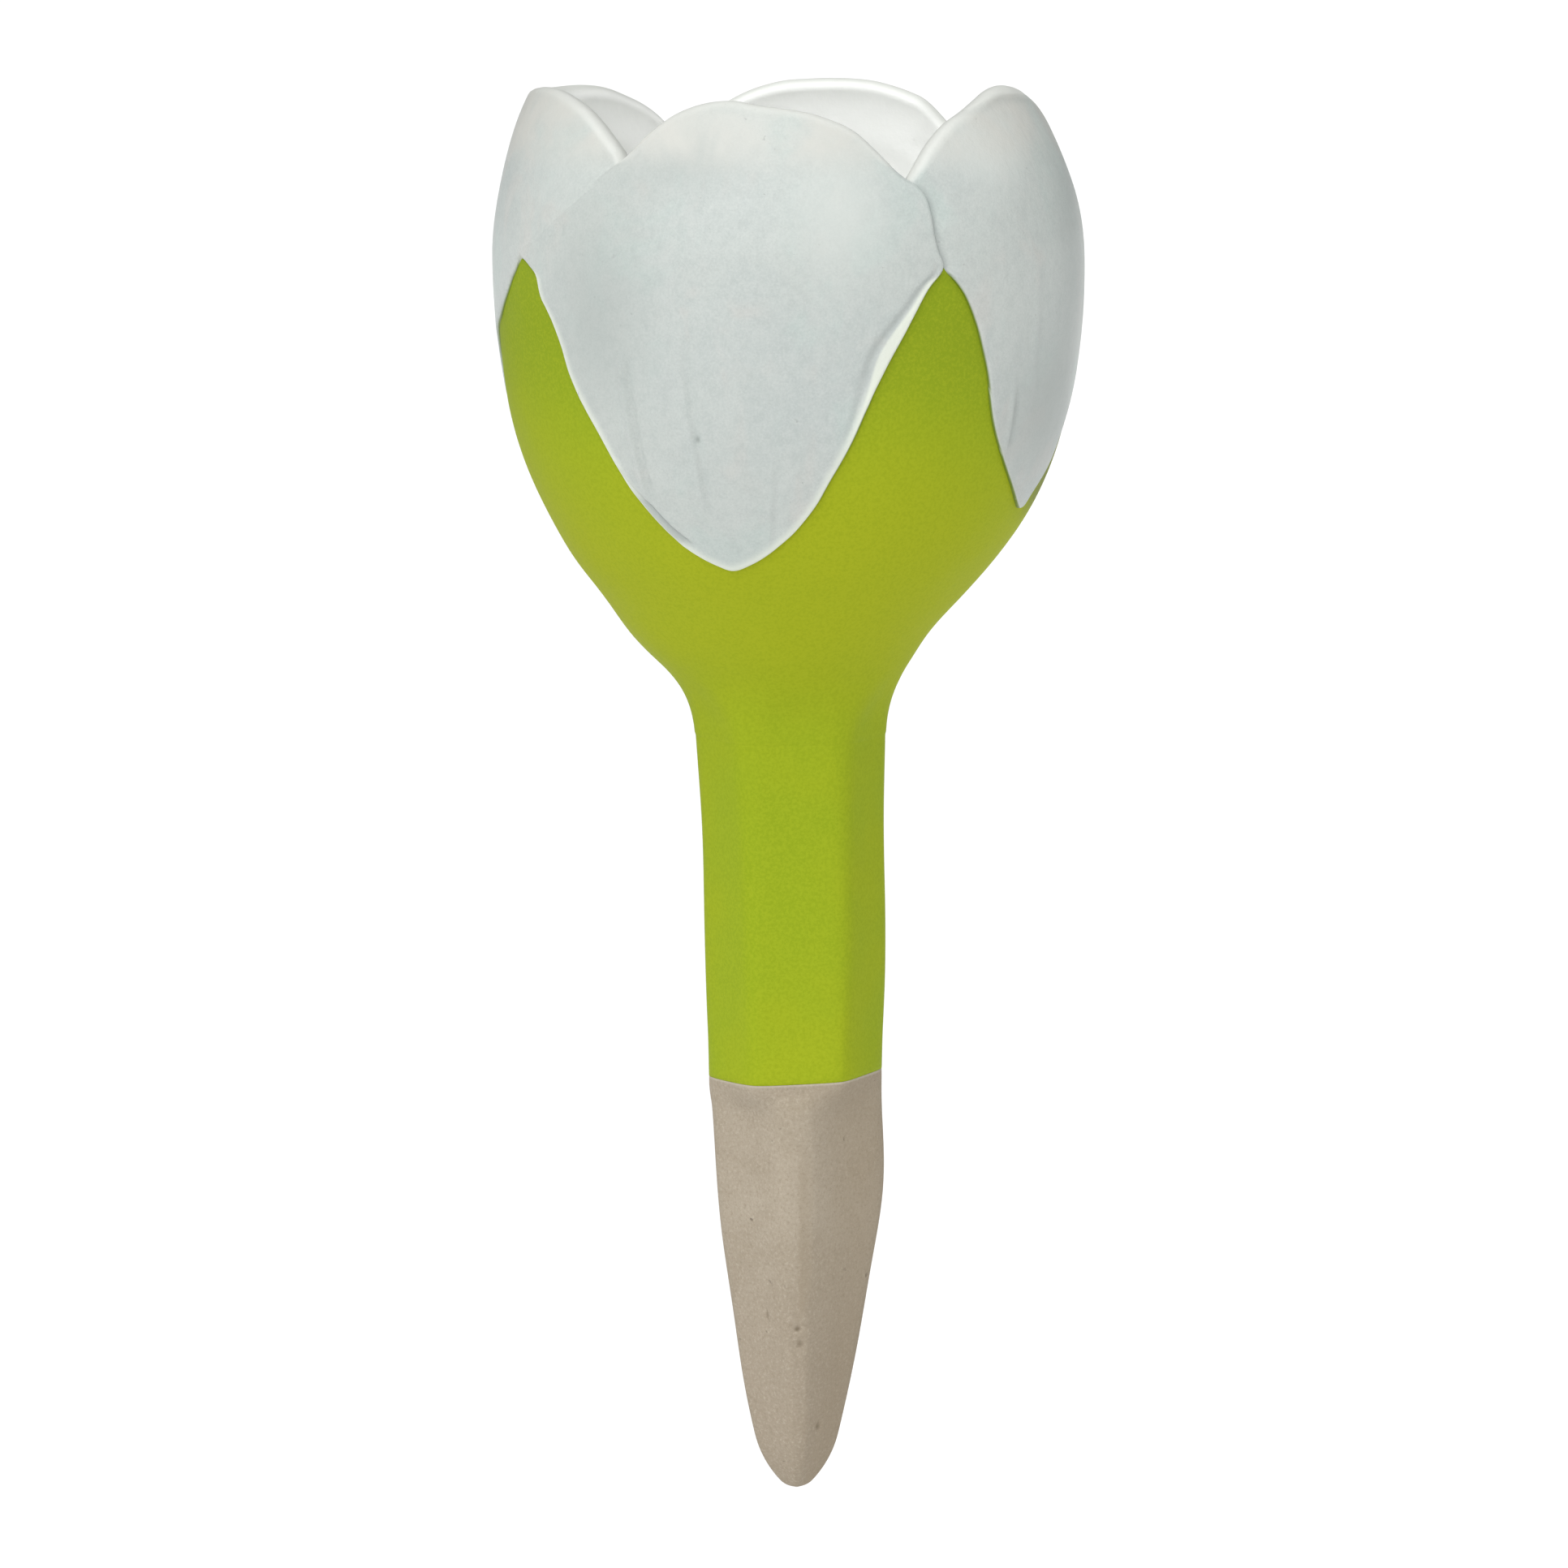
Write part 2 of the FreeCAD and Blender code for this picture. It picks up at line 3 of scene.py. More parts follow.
import bpy
import numpy as np
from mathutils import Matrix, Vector


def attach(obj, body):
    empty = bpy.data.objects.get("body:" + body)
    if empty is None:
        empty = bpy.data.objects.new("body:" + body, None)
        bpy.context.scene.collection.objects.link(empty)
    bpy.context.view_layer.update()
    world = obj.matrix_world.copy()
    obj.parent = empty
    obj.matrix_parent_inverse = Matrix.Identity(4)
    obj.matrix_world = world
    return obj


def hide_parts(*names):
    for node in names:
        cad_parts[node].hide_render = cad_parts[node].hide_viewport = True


# A glazed tulip watering spike. The shapes are worked out in millimetres in the row's frame:
# azimuths are in degrees from -Y (the front petal) towards +X (the right petal), heights are
# above the joint between the stem and the clay cone.

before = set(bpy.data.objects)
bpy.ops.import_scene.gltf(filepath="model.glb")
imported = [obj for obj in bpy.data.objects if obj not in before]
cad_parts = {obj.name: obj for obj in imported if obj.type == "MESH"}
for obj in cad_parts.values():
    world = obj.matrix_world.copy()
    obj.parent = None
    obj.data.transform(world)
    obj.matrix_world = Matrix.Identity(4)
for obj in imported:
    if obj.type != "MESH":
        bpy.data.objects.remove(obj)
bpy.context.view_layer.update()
MM = 0.001
VIEW_AZIMUTH = 13.8  # where the camera stands
AROUND = 288  # points in each ring of the lathed pieces
PETAL_POINTS = 400  # points in each ring of a petal

# ---------------------------------------------------------------- camera, light and floor


def place_camera():
    """A long lens, a little higher than the bloom, aimed near the middle of the object."""
    stand_off, height, look_at, aside = 1.274, 0.215, 0.04195, -0.0006
    turn = math.radians(VIEW_AZIMUTH)
    data = bpy.data.cameras.new("Camera")
    data.sensor_width = 36.0
    data.lens = 205.1
    camera = bpy.data.objects.new("Camera", data)
    bpy.context.scene.collection.objects.link(camera)
    camera.location = (math.sin(turn) * stand_off, -math.cos(turn) * stand_off, height)
    target = Vector((math.cos(turn) * aside, math.sin(turn) * aside, look_at))
    camera.rotation_mode = "QUATERNION"
    camera.rotation_quaternion = (target - camera.location).to_track_quat("-Z", "Y")
    bpy.context.scene.camera = camera


def place_sun(name, azimuth, elevation, strength, spread):
    """A very soft light from far off. Its azimuth is counted from the camera's side."""
    data = bpy.data.lights.new(name, "SUN")
    data.energy = strength * math.pi
    data.angle = math.radians(spread)
    light = bpy.data.objects.new(name, data)
    bpy.context.scene.collection.objects.link(light)
    turn, rise = math.radians(VIEW_AZIMUTH + azimuth), math.radians(elevation)
    across = math.cos(rise)
    source = Vector((math.sin(turn) * across, -math.cos(turn) * across, math.sin(rise)))
    light.location = source * 3
    light.rotation_mode = "QUATERNION"
    light.rotation_quaternion = source.to_track_quat("Z", "Y")


def place_floor():
    """Pale paper, well below the object."""
    mesh = bpy.data.meshes.new("floor")
    reach, depth = 40.0, -0.3
    mesh.from_pydata(
        [(-reach, -reach, depth), (reach, -reach, depth), (reach, reach, depth), (-reach, reach, depth)],
        [],
        [(0, 1, 2, 3)],
    )
    floor = bpy.data.objects.new("floor", mesh)
    bpy.context.scene.collection.objects.link(floor)
    paper = bpy.data.materials.new("floor_paper")
    paper.use_nodes = True
    shader = paper.node_tree.nodes["Principled BSDF"]
    shader.inputs["Base Color"].default_value = (0.96, 0.96, 0.96, 1)
    shader.inputs["Roughness"].default_value = 1.0
    shader.inputs["Specular IOR Level"].default_value = 0.0
    mesh.materials.append(paper)


def place_world():
    """A weak, even white light from all round."""
    world = bpy.data.worlds.new("Studio")
    world.use_nodes = True
    background = world.node_tree.nodes["Background"]
    background.inputs["Color"].default_value = (1, 1, 1, 1)
    background.inputs["Strength"].default_value = 0.15
    bpy.context.scene.world = world


place_camera()
place_world()
place_floor()
place_sun("key", -25, 30, 0.61, 50)
place_sun("upper_left", -62, 60, 0.33, 50)
place_sun("right", 75, 30, 0.3, 50)
place_sun("overhead", 0, 85, 0.23, 60)
bpy.context.scene.view_settings.view_transform = "Standard"
bpy.context.scene.view_settings.look = "None"

# ---------------------------------------------------------------- the wall's section

LIP_CENTRE, LIP = (-0.9, 118.0), 42.5
BELLY_CENTRE, BELLY, BELLY_SLOPE = (-100.4, 118.0), 142.0, math.radians(7.3)
BASE, FLARE_SLOPE, FLARE = 52.8, math.radians(39.8), 17.0
BASE_CENTRE = (
    BELLY_CENTRE[0] + (BELLY - BASE) * math.cos(BELLY_SLOPE),
    BELLY_CENTRE[1] - (BELLY - BASE) * math.sin(BELLY_SLOPE),
)
BASE_END = (
    BASE_CENTRE[0] + BASE * math.cos(FLARE_SLOPE),
    BASE_CENTRE[1] - BASE * math.sin(FLARE_SLOPE),
)
NECK = 18.2
NECK_CENTRE = (
    BASE_END[0] - FLARE * math.sin(FLARE_SLOPE) + NECK * math.cos(FLARE_SLOPE),
    BASE_END[1] - FLARE * math.cos(FLARE_SLOPE) - NECK * math.sin(FLARE_SLOPE),
)
NECK_SLOPE = math.radians(3)
JOINT_HEIGHT = NECK_CENTRE[1] + NECK * math.sin(NECK_SLOPE)
JOINT_RADIUS = NECK_CENTRE[0] - NECK * math.cos(NECK_SLOPE)
STEM_LOW = 12.55
WALL = 3.4


def bump(value, centre, width):
    """A soft hill of height one."""
    return np.exp(-(((value - centre) / width) ** 2))


def spread_of(spots, own, z):
    """The sum of soft spots, each given by its middle, its half widths and its amount."""
    total = 0 * z
    for middle, height, half_width, half_height, amount in spots:
        total = total + amount * bump(own, middle, half_width) * bump(z, height, half_height)
    return total


def face(z):
    """The sepals' face in section: its radius at each height."""
    z = np.asarray(z, float)
    lip = LIP_CENTRE[0] + np.sqrt(np.maximum(LIP**2 - (z - LIP_CENTRE[1]) ** 2, 1))
    belly = BELLY_CENTRE[0] + np.sqrt(BELLY**2 - (z - BELLY_CENTRE[1]) ** 2)
    base = BASE_CENTRE[0] + np.sqrt(np.maximum(BASE**2 - (z - BASE_CENTRE[1]) ** 2, 1))
    flare = BASE_END[0] - (BASE_END[1] - z) * math.tan(FLARE_SLOPE)
    neck = NECK_CENTRE[0] - np.sqrt(np.maximum(NECK**2 - (z - NECK_CENTRE[1]) ** 2, 1))
    stem = STEM_LOW + (JOINT_RADIUS - STEM_LOW) * z / JOINT_HEIGHT
    stem = stem - 0.35 * bump(z, 36, 12) - 0.25 * bump(z, 0, 9)
    belly_end = BELLY_CENTRE[1] - BELLY * math.sin(BELLY_SLOPE)
    flare_end = NECK_CENTRE[1] + NECK * math.sin(FLARE_SLOPE)
    bands = [z > 118, z > belly_end, z > BASE_END[1], z > flare_end, z > JOINT_HEIGHT]
    return np.select(bands, [lip, belly, base, flare, neck], stem)


def face_normal(z):
    """The outward normal of that face in section."""
    slope = (face(z + 0.05) - face(z - 0.05)) / 0.1
    length = np.sqrt(1 + slope**2)
    return 1 / length, -slope / length


def smooth(value, low, high):
    """A soft step from nought at low to one at high."""
    t = np.clip((np.asarray(value, float) - low) / (high - low), 0, 1)
    return t * t * (3 - 2 * t)


def facing(azimuth, direction, power=1):
    """One where the wall faces a direction, falling to nought at the side."""
    return np.maximum(np.cos(np.radians(azimuth - direction)), 0) ** power


def unevenness(azimuth, z, seed=0.0):
    """The slow waviness of a hand-finished wall, about one either way."""
    a = np.radians(azimuth)
    return (
        0.45 * np.sin(3 * a + z / 13 + 1.3 + seed)
        + 0.35 * np.sin(5 * a - z / 9 + 0.4 + 2 * seed)
        + 0.3 * np.sin(2 * a + z / 6.5 + 2.2 - seed)
        + 0.25 * np.sin(8 * a + z / 17 + 4.1 + 3 * seed)
    )


LEFT, RIGHT = -76.2, 103.8  # azimuths of the hollows and swells of the two sides
LEAN_TURN = 13.8  # how far past +X the side lies to which the axis wanders


def lean(z):
    """How far the axis wanders to that side at each height."""
    return 1.05 * smooth(z, 72, 12) + 0.15 * smooth(z, -30, -58)


def place(azimuth, z, radius):
    """Row coordinates in metres of points given by azimuth, height and radius."""
    a = np.radians(azimuth)
    off = lean(z)
    turn = math.radians(LEAN_TURN)
    x = radius * np.sin(a) + off * math.cos(turn)
    y = -radius * np.cos(a) + off * math.sin(turn)
    return np.stack([x, y, z], -1) * MM


def on_axis(z):
    """The row coordinates of the axis at one height."""
    return place(np.zeros(1), np.array([z]), np.zeros(1))[0]


# ---------------------------------------------------------------- meshes


def make_object(name, points, faces, material, nodes, values=None):
    """A smooth mesh with its values per point, its body and the nodes it stands for."""
    mesh = bpy.data.meshes.new(name)
    mesh.from_pydata(points.tolist(), [], faces)
    mesh.validate()
    mesh.polygons.foreach_set("use_smooth", [True] * len(mesh.polygons))
    mesh.set_sharp_from_angle(angle=math.radians(48))
    for label, data in (values or {}).items():
        attribute = mesh.attributes.new(label, "FLOAT", "POINT")
        attribute.data.foreach_set("value", np.asarray(data, np.float32))
    mesh.materials.append(material)
    mesh.update()
    piece = bpy.data.objects.new(name, mesh)
    bpy.context.scene.collection.objects.link(piece)
    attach(piece, "root")
    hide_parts(*nodes)
    return piece


def join_rings(faces, low, high, around):
    """Adds quads between two closed rings, each given by the number of its first point."""
    for k in range(around):
        after = (k + 1) % around
        faces.append((low + k, low + after, high + after, high + k))


def ring_faces(rings, around):
    """Quads between rings of points that follow each other, each ring closed."""
    faces = []
    for ring in range(rings - 1):
        join_rings(faces, ring * around, (ring + 1) * around, around)
    return faces


def level(z, radius):
    """A plain round row for the lathe."""
    return lambda azimuth: (azimuth * 0 + z, azimuth * 0 + radius)


def lathe(rows, around=AROUND):
    """Closed rings of points. A row gives its height and radius at every azimuth, so it may be
    tilted or faceted."""
    azimuth = np.arange(around) * 360.0 / around
    rings = [place(azimuth, *row(azimuth)) for row in rows]
    return np.concatenate(rings), ring_faces(len(rings), around), azimuth


def cap(points, faces, ring_start, around, tip, outward):
    """Closes a ring with a fan to a point."""
    points = np.concatenate([points, [tip]])
    last = len(points) - 1
    for k in range(around):
        after = (k + 1) % around
        triangle = (ring_start + k, ring_start + after, last)
        faces.append(triangle if outward else triangle[::-1])
    return points, faces


# ---------------------------------------------------------------- the green cup and stem

FACET_TURN = 46.0
# heights and radii of the fits inside, from the petals' seats down to the cone's cavity
SEAT, FUNNEL_TOP = 102.7, 76.0
CUP_SOCKET, TONGUE, CHANNEL = 10.4, 10.3, 7.0
STEM_SOCKET, SOCKET_TOP = 8.8, 12.5
SPIGOT, SPIGOT_TOP, CAVITY = 8.4, 12.0, 5.6


def facet(azimuth, radius, depth, count, turn, sharpness=70):
    """A round section with that many flats, whose corners start at an azimuth."""
    pitch = 360.0 / count
    off = (azimuth - turn) % pitch - pitch / 2
    flat = (radius - depth) / np.cos(np.radians(off))
    full = radius * 2 ** (1 / sharpness)
    return (full**-sharpness + flat**-sharpness) ** (-1 / sharpness)


def green_face(azimuth, z):
    """The radius of the painted outside, from the sepals' tips down to the stem's foot."""
    radius = face(z)
    radius = radius + 1.4 * bump(z, 63.5, 5.5) * facing(azimuth, LEFT, 2)
    radius = radius + 0.6 * bump(z, 73, 6) * facing(azimuth, LEFT, 2)
    radius = radius - 1.1 * bump(z, 64.5, 5) * facing(azimuth, RIGHT, 2)
    radius = radius - 0.5 * bump(z, 73, 7) * facing(azimuth, RIGHT, 2)
    depth = 1.15 - 0.3 * np.clip(z / 50, 0, 1) - 0.35 * (1 - smooth(z, 0, 7))
    flats = facet(azimuth, radius, depth, 6, FACET_TURN, 28 + 20 * smooth(z, 0, 9))
    share = 1 - smooth(z + 1.5 * np.cos(np.radians(6 * (azimuth - FACET_TURN))), 50.5, 58.5)
    radius = radius + (flats - radius) * share
    return radius + 0.16 * unevenness(azimuth, z) * smooth(z, 50, 66)


def joint_tilt(azimuth):
    """The joint between stem and cone is not quite square to the axis."""
    return 0.5 * np.cos(np.radians(azimuth - RIGHT))


def make_cup(material, liner):
    """The calyx: its outside runs up under the petals, its inside is the cup's funnel."""
    heights = np.concatenate([np.linspace(JOINT_HEIGHT, 62, 24), np.linspace(62.8, 119, 72)])
    rows = [lambda a, z=z: (a * 0 + z, green_face(a, z)) for z in heights]
    rows += [level(119.3, face(119.3) - 0.5), level(119.0, face(119.0) - 1.2)]
    outer = len(rows)
    rows += [level(z, face(z) - 1.3) for z in np.linspace(118, 103.5, 14)]
    rows += [level(SEAT, face(SEAT) - 1.9), level(SEAT, face(SEAT) - WALL + 0.5)]
    for z in np.linspace(102.3, FUNNEL_TOP, 34):
        radial, up = face_normal(z)
        rows.append(level(z - up * WALL, face(z) - radial * WALL - 0.06))
    radial, up = face_normal(FUNNEL_TOP)
    start_z = FUNNEL_TOP - up * WALL
    start_radius = float(face(FUNNEL_TOP)) - radial * WALL - 0.06
    for t in np.linspace(0.06, 1, 14):
        z = start_z + (56.6 - start_z) * t
        rows.append(level(z, start_radius + (CUP_SOCKET - start_radius) * t))
    rows += [level(56.0, CUP_SOCKET), level(JOINT_HEIGHT, CUP_SOCKET)]
    points, faces, _ = lathe(rows)
    join_rings(faces, (len(rows) - 1) * AROUND, 0, AROUND)
    first, last = (outer + 1) * AROUND, (len(rows) - 2) * AROUND
    lined = np.arange(len(points)) >= first
    azimuth = np.degrees(np.arctan2(points[:, 0], -points[:, 1]))
    z = points[:, 2] / MM
    # painted shade: a darker strip on the green beside the right petal's tip
    painted_shade_strip = smooth(azimuth, 80, 93) * (1 - smooth(azimuth, 115, 140))
    shade = painted_shade_strip * smooth(z, 80, 85) * (1 - smooth(z, 96, 102)) * (1 - lined)
    # the liner gets the whiter inside glaze (painted light); shade is the strip of painted shade
    values = {"inset": 9.0 + 0 * lined, "inside": 1.0 * lined, "shade": shade}
    piece = make_object("calyx", points, faces, material, ["calyx_cup"], values)
    piece.data.materials.append(liner)
    for polygon in piece.data.polygons:
        if first <= min(polygon.vertices) and max(polygon.vertices) < last:
            polygon.material_index = 1
    return piece


def make_stem(material):
    """The stem: a socket for the spigot below, a tongue above, and the water channel."""
    rows = [
        lambda a: (joint_tilt(a), a * 0 + STEM_SOCKET),
        lambda a: (joint_tilt(a), a * 0 + 10.2),
        lambda a: (joint_tilt(a), green_face(a, 0 * a) - 0.06),
        lambda a: (joint_tilt(a) + 0.06, green_face(a, 0 * a)),
    ]
    for z in np.linspace(0, JOINT_HEIGHT, 76)[1:]:
        rows.append(
            lambda a, z=z: (z + joint_tilt(a) * max(0, 1 - z / 12), green_face(a, z + 0 * a))
        )
    rows += [level(JOINT_HEIGHT, TONGUE), level(55.9, TONGUE), level(56.3, 9.9)]
    rows += [level(56.3, 7.4), level(55.9, CHANNEL), level(SOCKET_TOP, CHANNEL)]
    rows.append(level(SOCKET_TOP, STEM_SOCKET))
    points, faces, _ = lathe(rows)
    join_rings(faces, (len(rows) - 1) * AROUND, 0, AROUND)
    return make_object("stem", points, faces, material, ["stem_tube"])


# ---------------------------------------------------------------- the clay cone

CONE_LENGTH = 61.1
FLANK, FLANK_TOP, FLANK_LOW = 230.0, math.radians(0.3), math.radians(13.7)
TURN, BALL_SLOPE = 15.9, math.radians(41.9)
FLANK_CENTRE = (12.5 - FLANK * math.cos(FLANK_TOP), FLANK * math.sin(FLANK_TOP))
TURN_CENTRE = (
    FLANK_CENTRE[0] + (FLANK - TURN) * math.cos(FLANK_LOW),
    FLANK_CENTRE[1] - (FLANK - TURN) * math.sin(FLANK_LOW),
)
BALL = (TURN_CENTRE[0] + TURN * math.cos(BALL_SLOPE)) / math.cos(BALL_SLOPE)
BALL_CENTRE = TURN_CENTRE[1] - TURN * math.sin(BALL_SLOPE) + BALL * math.sin(BALL_SLOPE)


def cone_corner(z):
    """The radius of the cone's corners: a long flank, a turn and a ball at the tip."""
    z = np.asarray(z, float)
    flank = FLANK_CENTRE[0] + np.sqrt(FLANK**2 - (z - FLANK_CENTRE[1]) ** 2)
    turn = TURN_CENTRE[0] + np.sqrt(np.maximum(TURN**2 - (z - TURN_CENTRE[1]) ** 2, 0))
    ball = np.sqrt(np.maximum(BALL**2 - (z - BALL_CENTRE) ** 2, 0))
    flank_end = FLANK_CENTRE[1] - FLANK * math.sin(FLANK_LOW)
    turn_end = TURN_CENTRE[1] - TURN * math.sin(BALL_SLOPE)
    return np.select([z > flank_end, z > turn_end], [flank, turn], ball)


def cone_turn(z):
    """The azimuth of the cone's front arris, which twists a little towards the tip."""
    return 17.6 - 3.6 * smooth(z, -50, -36)


def signed(azimuth):
    """The same azimuth, counted from -180 to 180 degrees."""
    return (azimuth + 180) % 360 - 180


def cone_pits(azimuth, z):
    """The larger pits of the clay, each given by azimuth, height, half widths and depth."""
    pits = [
        (15.5, -36.0, 3, 0.5, 0.4), (17.5, -38.3, 5, 0.8, 0.3), (50, -51.2, 6, 0.6, 0.4),
        (-17, -34.5, 2.5, 1.1, 0.3),
    ]
    return spread_of(pits, azimuth, z)


def cone_face(azimuth, z):
    """The radius of the cone's outside, which takes over from the stem's just below the joint."""
    radius = cone_corner(z) - 0.3 * bump(z, -4, 8)
    radius = radius + 0.75 * bump(z, -18, 10) * facing(azimuth, RIGHT, 2)
    radius = radius - 0.55 * bump(z, -14, 11) * facing(azimuth, LEFT, 2)
    radius = radius - 0.8 * bump(z, -33, 12) * facing(azimuth, LEFT, 2)
    flats = facet(azimuth, radius, radius * 0.17, 4, cone_turn(z), 38)
    beside = bump(azimuth - cone_turn(z), 8, 4) * smooth(z, -34, -26) * (1 - smooth(z, -12, -6))
    flats = flats - 0.16 * beside
    stem = green_face(azimuth, 0 * azimuth)
    share = smooth(-z, 0.3, 5.0)
    uneven = 0.1 * unevenness(azimuth, z * 1.6, 2.0) * smooth(-z, 2, 12)
    shaped = flats + uneven * np.clip(radius / 12, 0, 1) - cone_pits(signed(azimuth), z)
    return stem - 0.02 + (shaped - stem + 0.02) * share


def make_cone(material):
    """The cone: a spigot above, four shaved flats, and a blind cavity open at the top."""
    rows = [level(SPIGOT_TOP, CAVITY), level(SPIGOT_TOP, 8.0)]
    rows += [level(11.6, SPIGOT), level(0.6, SPIGOT)]
    rows.append(lambda a: (joint_tilt(a) - 0.02, a * 0 + 8.9))
    rows.append(lambda a: (joint_tilt(a) - 0.02, cone_face(a, a * 0) - 0.04))
    rows.append(lambda a: (joint_tilt(a) - 0.06, cone_face(a, a * 0)))
    plain = len(rows)
    tip_depths = -50 - 11.13 * np.sin(np.linspace(0.06, 1.54, 22))
    depths = np.concatenate([[-0.4], np.linspace(-0.9, -50, 110), tip_depths])
    for z in depths:
        rows.append(
            lambda a, z=z: (z + joint_tilt(a) * max(0, 1 + z / 12), cone_face(a, z + a * 0))
        )
    points, faces, azimuth = lathe(rows)
    faces = [f[::-1] for f in faces]
    shade = [0 * azimuth] * plain
    pit = [0 * azimuth] * plain
    for z in depths:
        # painted shade: darker on the right-hand side and in a band just past the front arris
        past = signed(azimuth - cone_turn(z))
        side = smooth(past, 0.6, 3.2) * (1 - smooth(past, 6, 20))
        side = side * smooth(z, -38, -30) * (1 - smooth(z, -14, -5))
        shade.append(np.maximum(facing(azimuth, RIGHT - 22, 2), 0.75 * side))
        # depth of the larger pits, also used for painted shade in them
        pit.append(cone_pits(signed(azimuth), z + 0 * azimuth))
    tip_start = (len(rows) - 1) * AROUND
    points, faces = cap(points, faces, tip_start, AROUND, on_axis(-CONE_LENGTH), False)
    low = 0
    for radius, z in ((CAVITY, -24.0), (1.6, -49.4), (0.8, -50.6)):
        high = len(points)
        points = np.concatenate([points, place(azimuth, azimuth * 0 + z, azimuth * 0 + radius)])
        join_rings(faces, low, high, AROUND)
        low = high
    points, faces = cap(points, faces, low, AROUND, on_axis(-51.0), True)
    # painted highlight: the top rows of the cone, seen as a pale line just under the green
    values = {"lip": 1.0 * (np.arange(len(points)) < plain * AROUND)}
    for label, rings in (("shade", shade), ("pit", pit)):
        values[label] = np.zeros(len(points))
        values[label][: len(rows) * AROUND] = np.concatenate(rings)
    return make_object("cone", points, faces, material, ["clay_cone"], values)


def make_cement(material):
    """The ring of cement between the cone's spigot and the stem's socket."""
    around = 96
    rows = [level(0.7, 8.42), level(0.5, 8.78), level(11.8, 8.78), level(12.0, 8.42)]
    points, faces, _ = lathe(rows, around)
    join_rings(faces, (len(rows) - 1) * around, 0, around)
    return make_object("cement_ring", points, faces, material, ["cone_cement"])


# ---------------------------------------------------------------- petals

# Outlines as (azimuth from the petal's own middle, height), anticlockwise from the lower tip.
FRONT_OUTLINE = [
    (0, 76.2), (5, 77.3), (9, 78.7), (12.5, 80.4), (15.9, 82.4), (20, 85.9), (22.7, 89.4),
    (25.4, 92.8), (27.8, 96.3), (29.7, 99.7), (32, 103.1), (34.3, 106.4), (37, 109.8),
    (39.3, 112.8), (41.9, 116.1), (44.7, 118.3), (45.1, 119.8), (44.1, 121.4), (43.4, 123.8),
    (43, 126.6), (42.4, 128.8), (40.6, 130.6), (37.4, 132.2), (33.6, 135.2), (28.6, 138.4),
    (23, 140.1), (17.5, 141.1), (10.7, 141.7), (5.4, 142.1), (0.9, 142.6), (-5.3, 142.3),
    (-10.6, 141.3), (-14.8, 139.8), (-19, 137.3), (-22.3, 134.7), (-29.5, 130.8), (-37, 127),
    (-44, 123.6), (-49, 121.6), (-51, 120.4), (-50.4, 119.3), (-48, 118.65), (-46, 117.9),
    (-43.9, 116.9), (-43.2, 115.2), (-42.3, 113.6), (-40.8, 112.3), (-38.8, 110.3),
    (-36.6, 107.2), (-35.1, 104), (-33.4, 101.6), (-30.8, 98.7), (-27.8, 95.4), (-25.2, 92),
    (-22.7, 88.6), (-19.5, 85.2), (-15.5, 81.9), (-12.4, 80), (-8.3, 78.2), (-4, 76.9),
]
BACK_OUTLINE = [
    (0, 76.2), (5, 77.3), (9, 78.7), (12.5, 80.4), (16, 82.4), (20, 85.9), (25.4, 92.8),
    (29.7, 99.7), (34.3, 106.4), (39.3, 112.8), (44.7, 118.3), (45.2, 122), (43.2, 126),
    (40.6, 129.8), (36, 133.7), (32, 136.1), (27.5, 138.3), (22, 140), (15.4, 141.1),
    (9.7, 141.4), (2, 141.6), (-6, 141.4), (-11.5, 140.7), (-16, 139.8), (-19.8, 138.6),
    (-23.5, 135.8), (-29.5, 130.3), (-37, 125), (-43, 121.2), (-45.6, 118.6), (-41, 113),
    (-35.1, 104), (-30.8, 98.7), (-25.2, 92), (-19.5, 85.2), (-12.4, 80), (-5, 77.2),
]
RIGHT_OUTLINE = [
    (-8.8, 83.3), (-6.6, 85.3), (-4.2, 87), (-1.8, 88.8), (-0.2, 90.6), (1.2, 92.8), (3.2, 95.2),
    (6.4, 98), (10.6, 101), (15.5, 104), (21, 107), (27.2, 110.2),
    (34.4, 113.6), (42.5, 117), (53, 120.6), (63, 125), (69.5, 129.5), (70.5, 132.6), (67.3, 134.8),
    (60, 136.2), (50, 136.6), (38, 136.8), (25, 136.8), (17, 137.4), (11, 139), (5, 140.9),
    (-2, 142.6), (-10, 143.6), (-17, 143.4), (-24, 142.3), (-32, 140.6), (-38.6, 139),
    (-44.5, 136.4), (-49, 133.2), (-52.5, 130), (-54.3, 126.5), (-53, 123), (-49.5, 120.6),
    (-44.9, 118.4), (-41.4, 115.9), (-39.3, 113.5), (-37.2, 110.3), (-35.6, 107.2), (-33.9, 103.8),
    (-32.6, 100.4), (-30.8, 96.8), (-27.6, 93.2), (-23, 89.6), (-17, 86.2), (-12, 84),
]
LEFT_OUTLINE = [
    (-1, 87.4), (2.2, 90.2), (4.8, 93.6), (7.2, 97.2), (9.6, 100.8), (12.4, 104),
    (16, 106.6), (20.4, 108.4), (25.5, 109.8), (29.7, 112), (33.2, 114.1), (35.7, 115.9),
    (37.6, 117.1), (39.1, 118.3),
    (40.8, 119.4), (44, 120.6), (49, 121.4), (58, 122.6), (65, 126), (68.2, 130.4),
    (66.2, 134.7), (60.8, 137.4), (54.9, 139.5), (48.5, 141), (38.6, 142.2), (29, 142.4),
    (20, 141.9), (12.9, 141.3), (0, 141), (-8, 141), (-19, 141.1), (-28, 140.6),
    (-36, 139.2), (-41.6, 137.8), (-47, 135.6), (-52, 131.8),
    (-54.3, 128), (-53.5, 123.5), (-49.5, 120.4), (-44, 118), (-38.5, 114), (-33.4, 108.5),
    (-28.6, 103.5), (-23, 98.6), (-17, 94.3), (-11, 90.4), (-5, 87.2),
]
ARC = math.radians(1) * 41.0  # millimetres of wall per degree


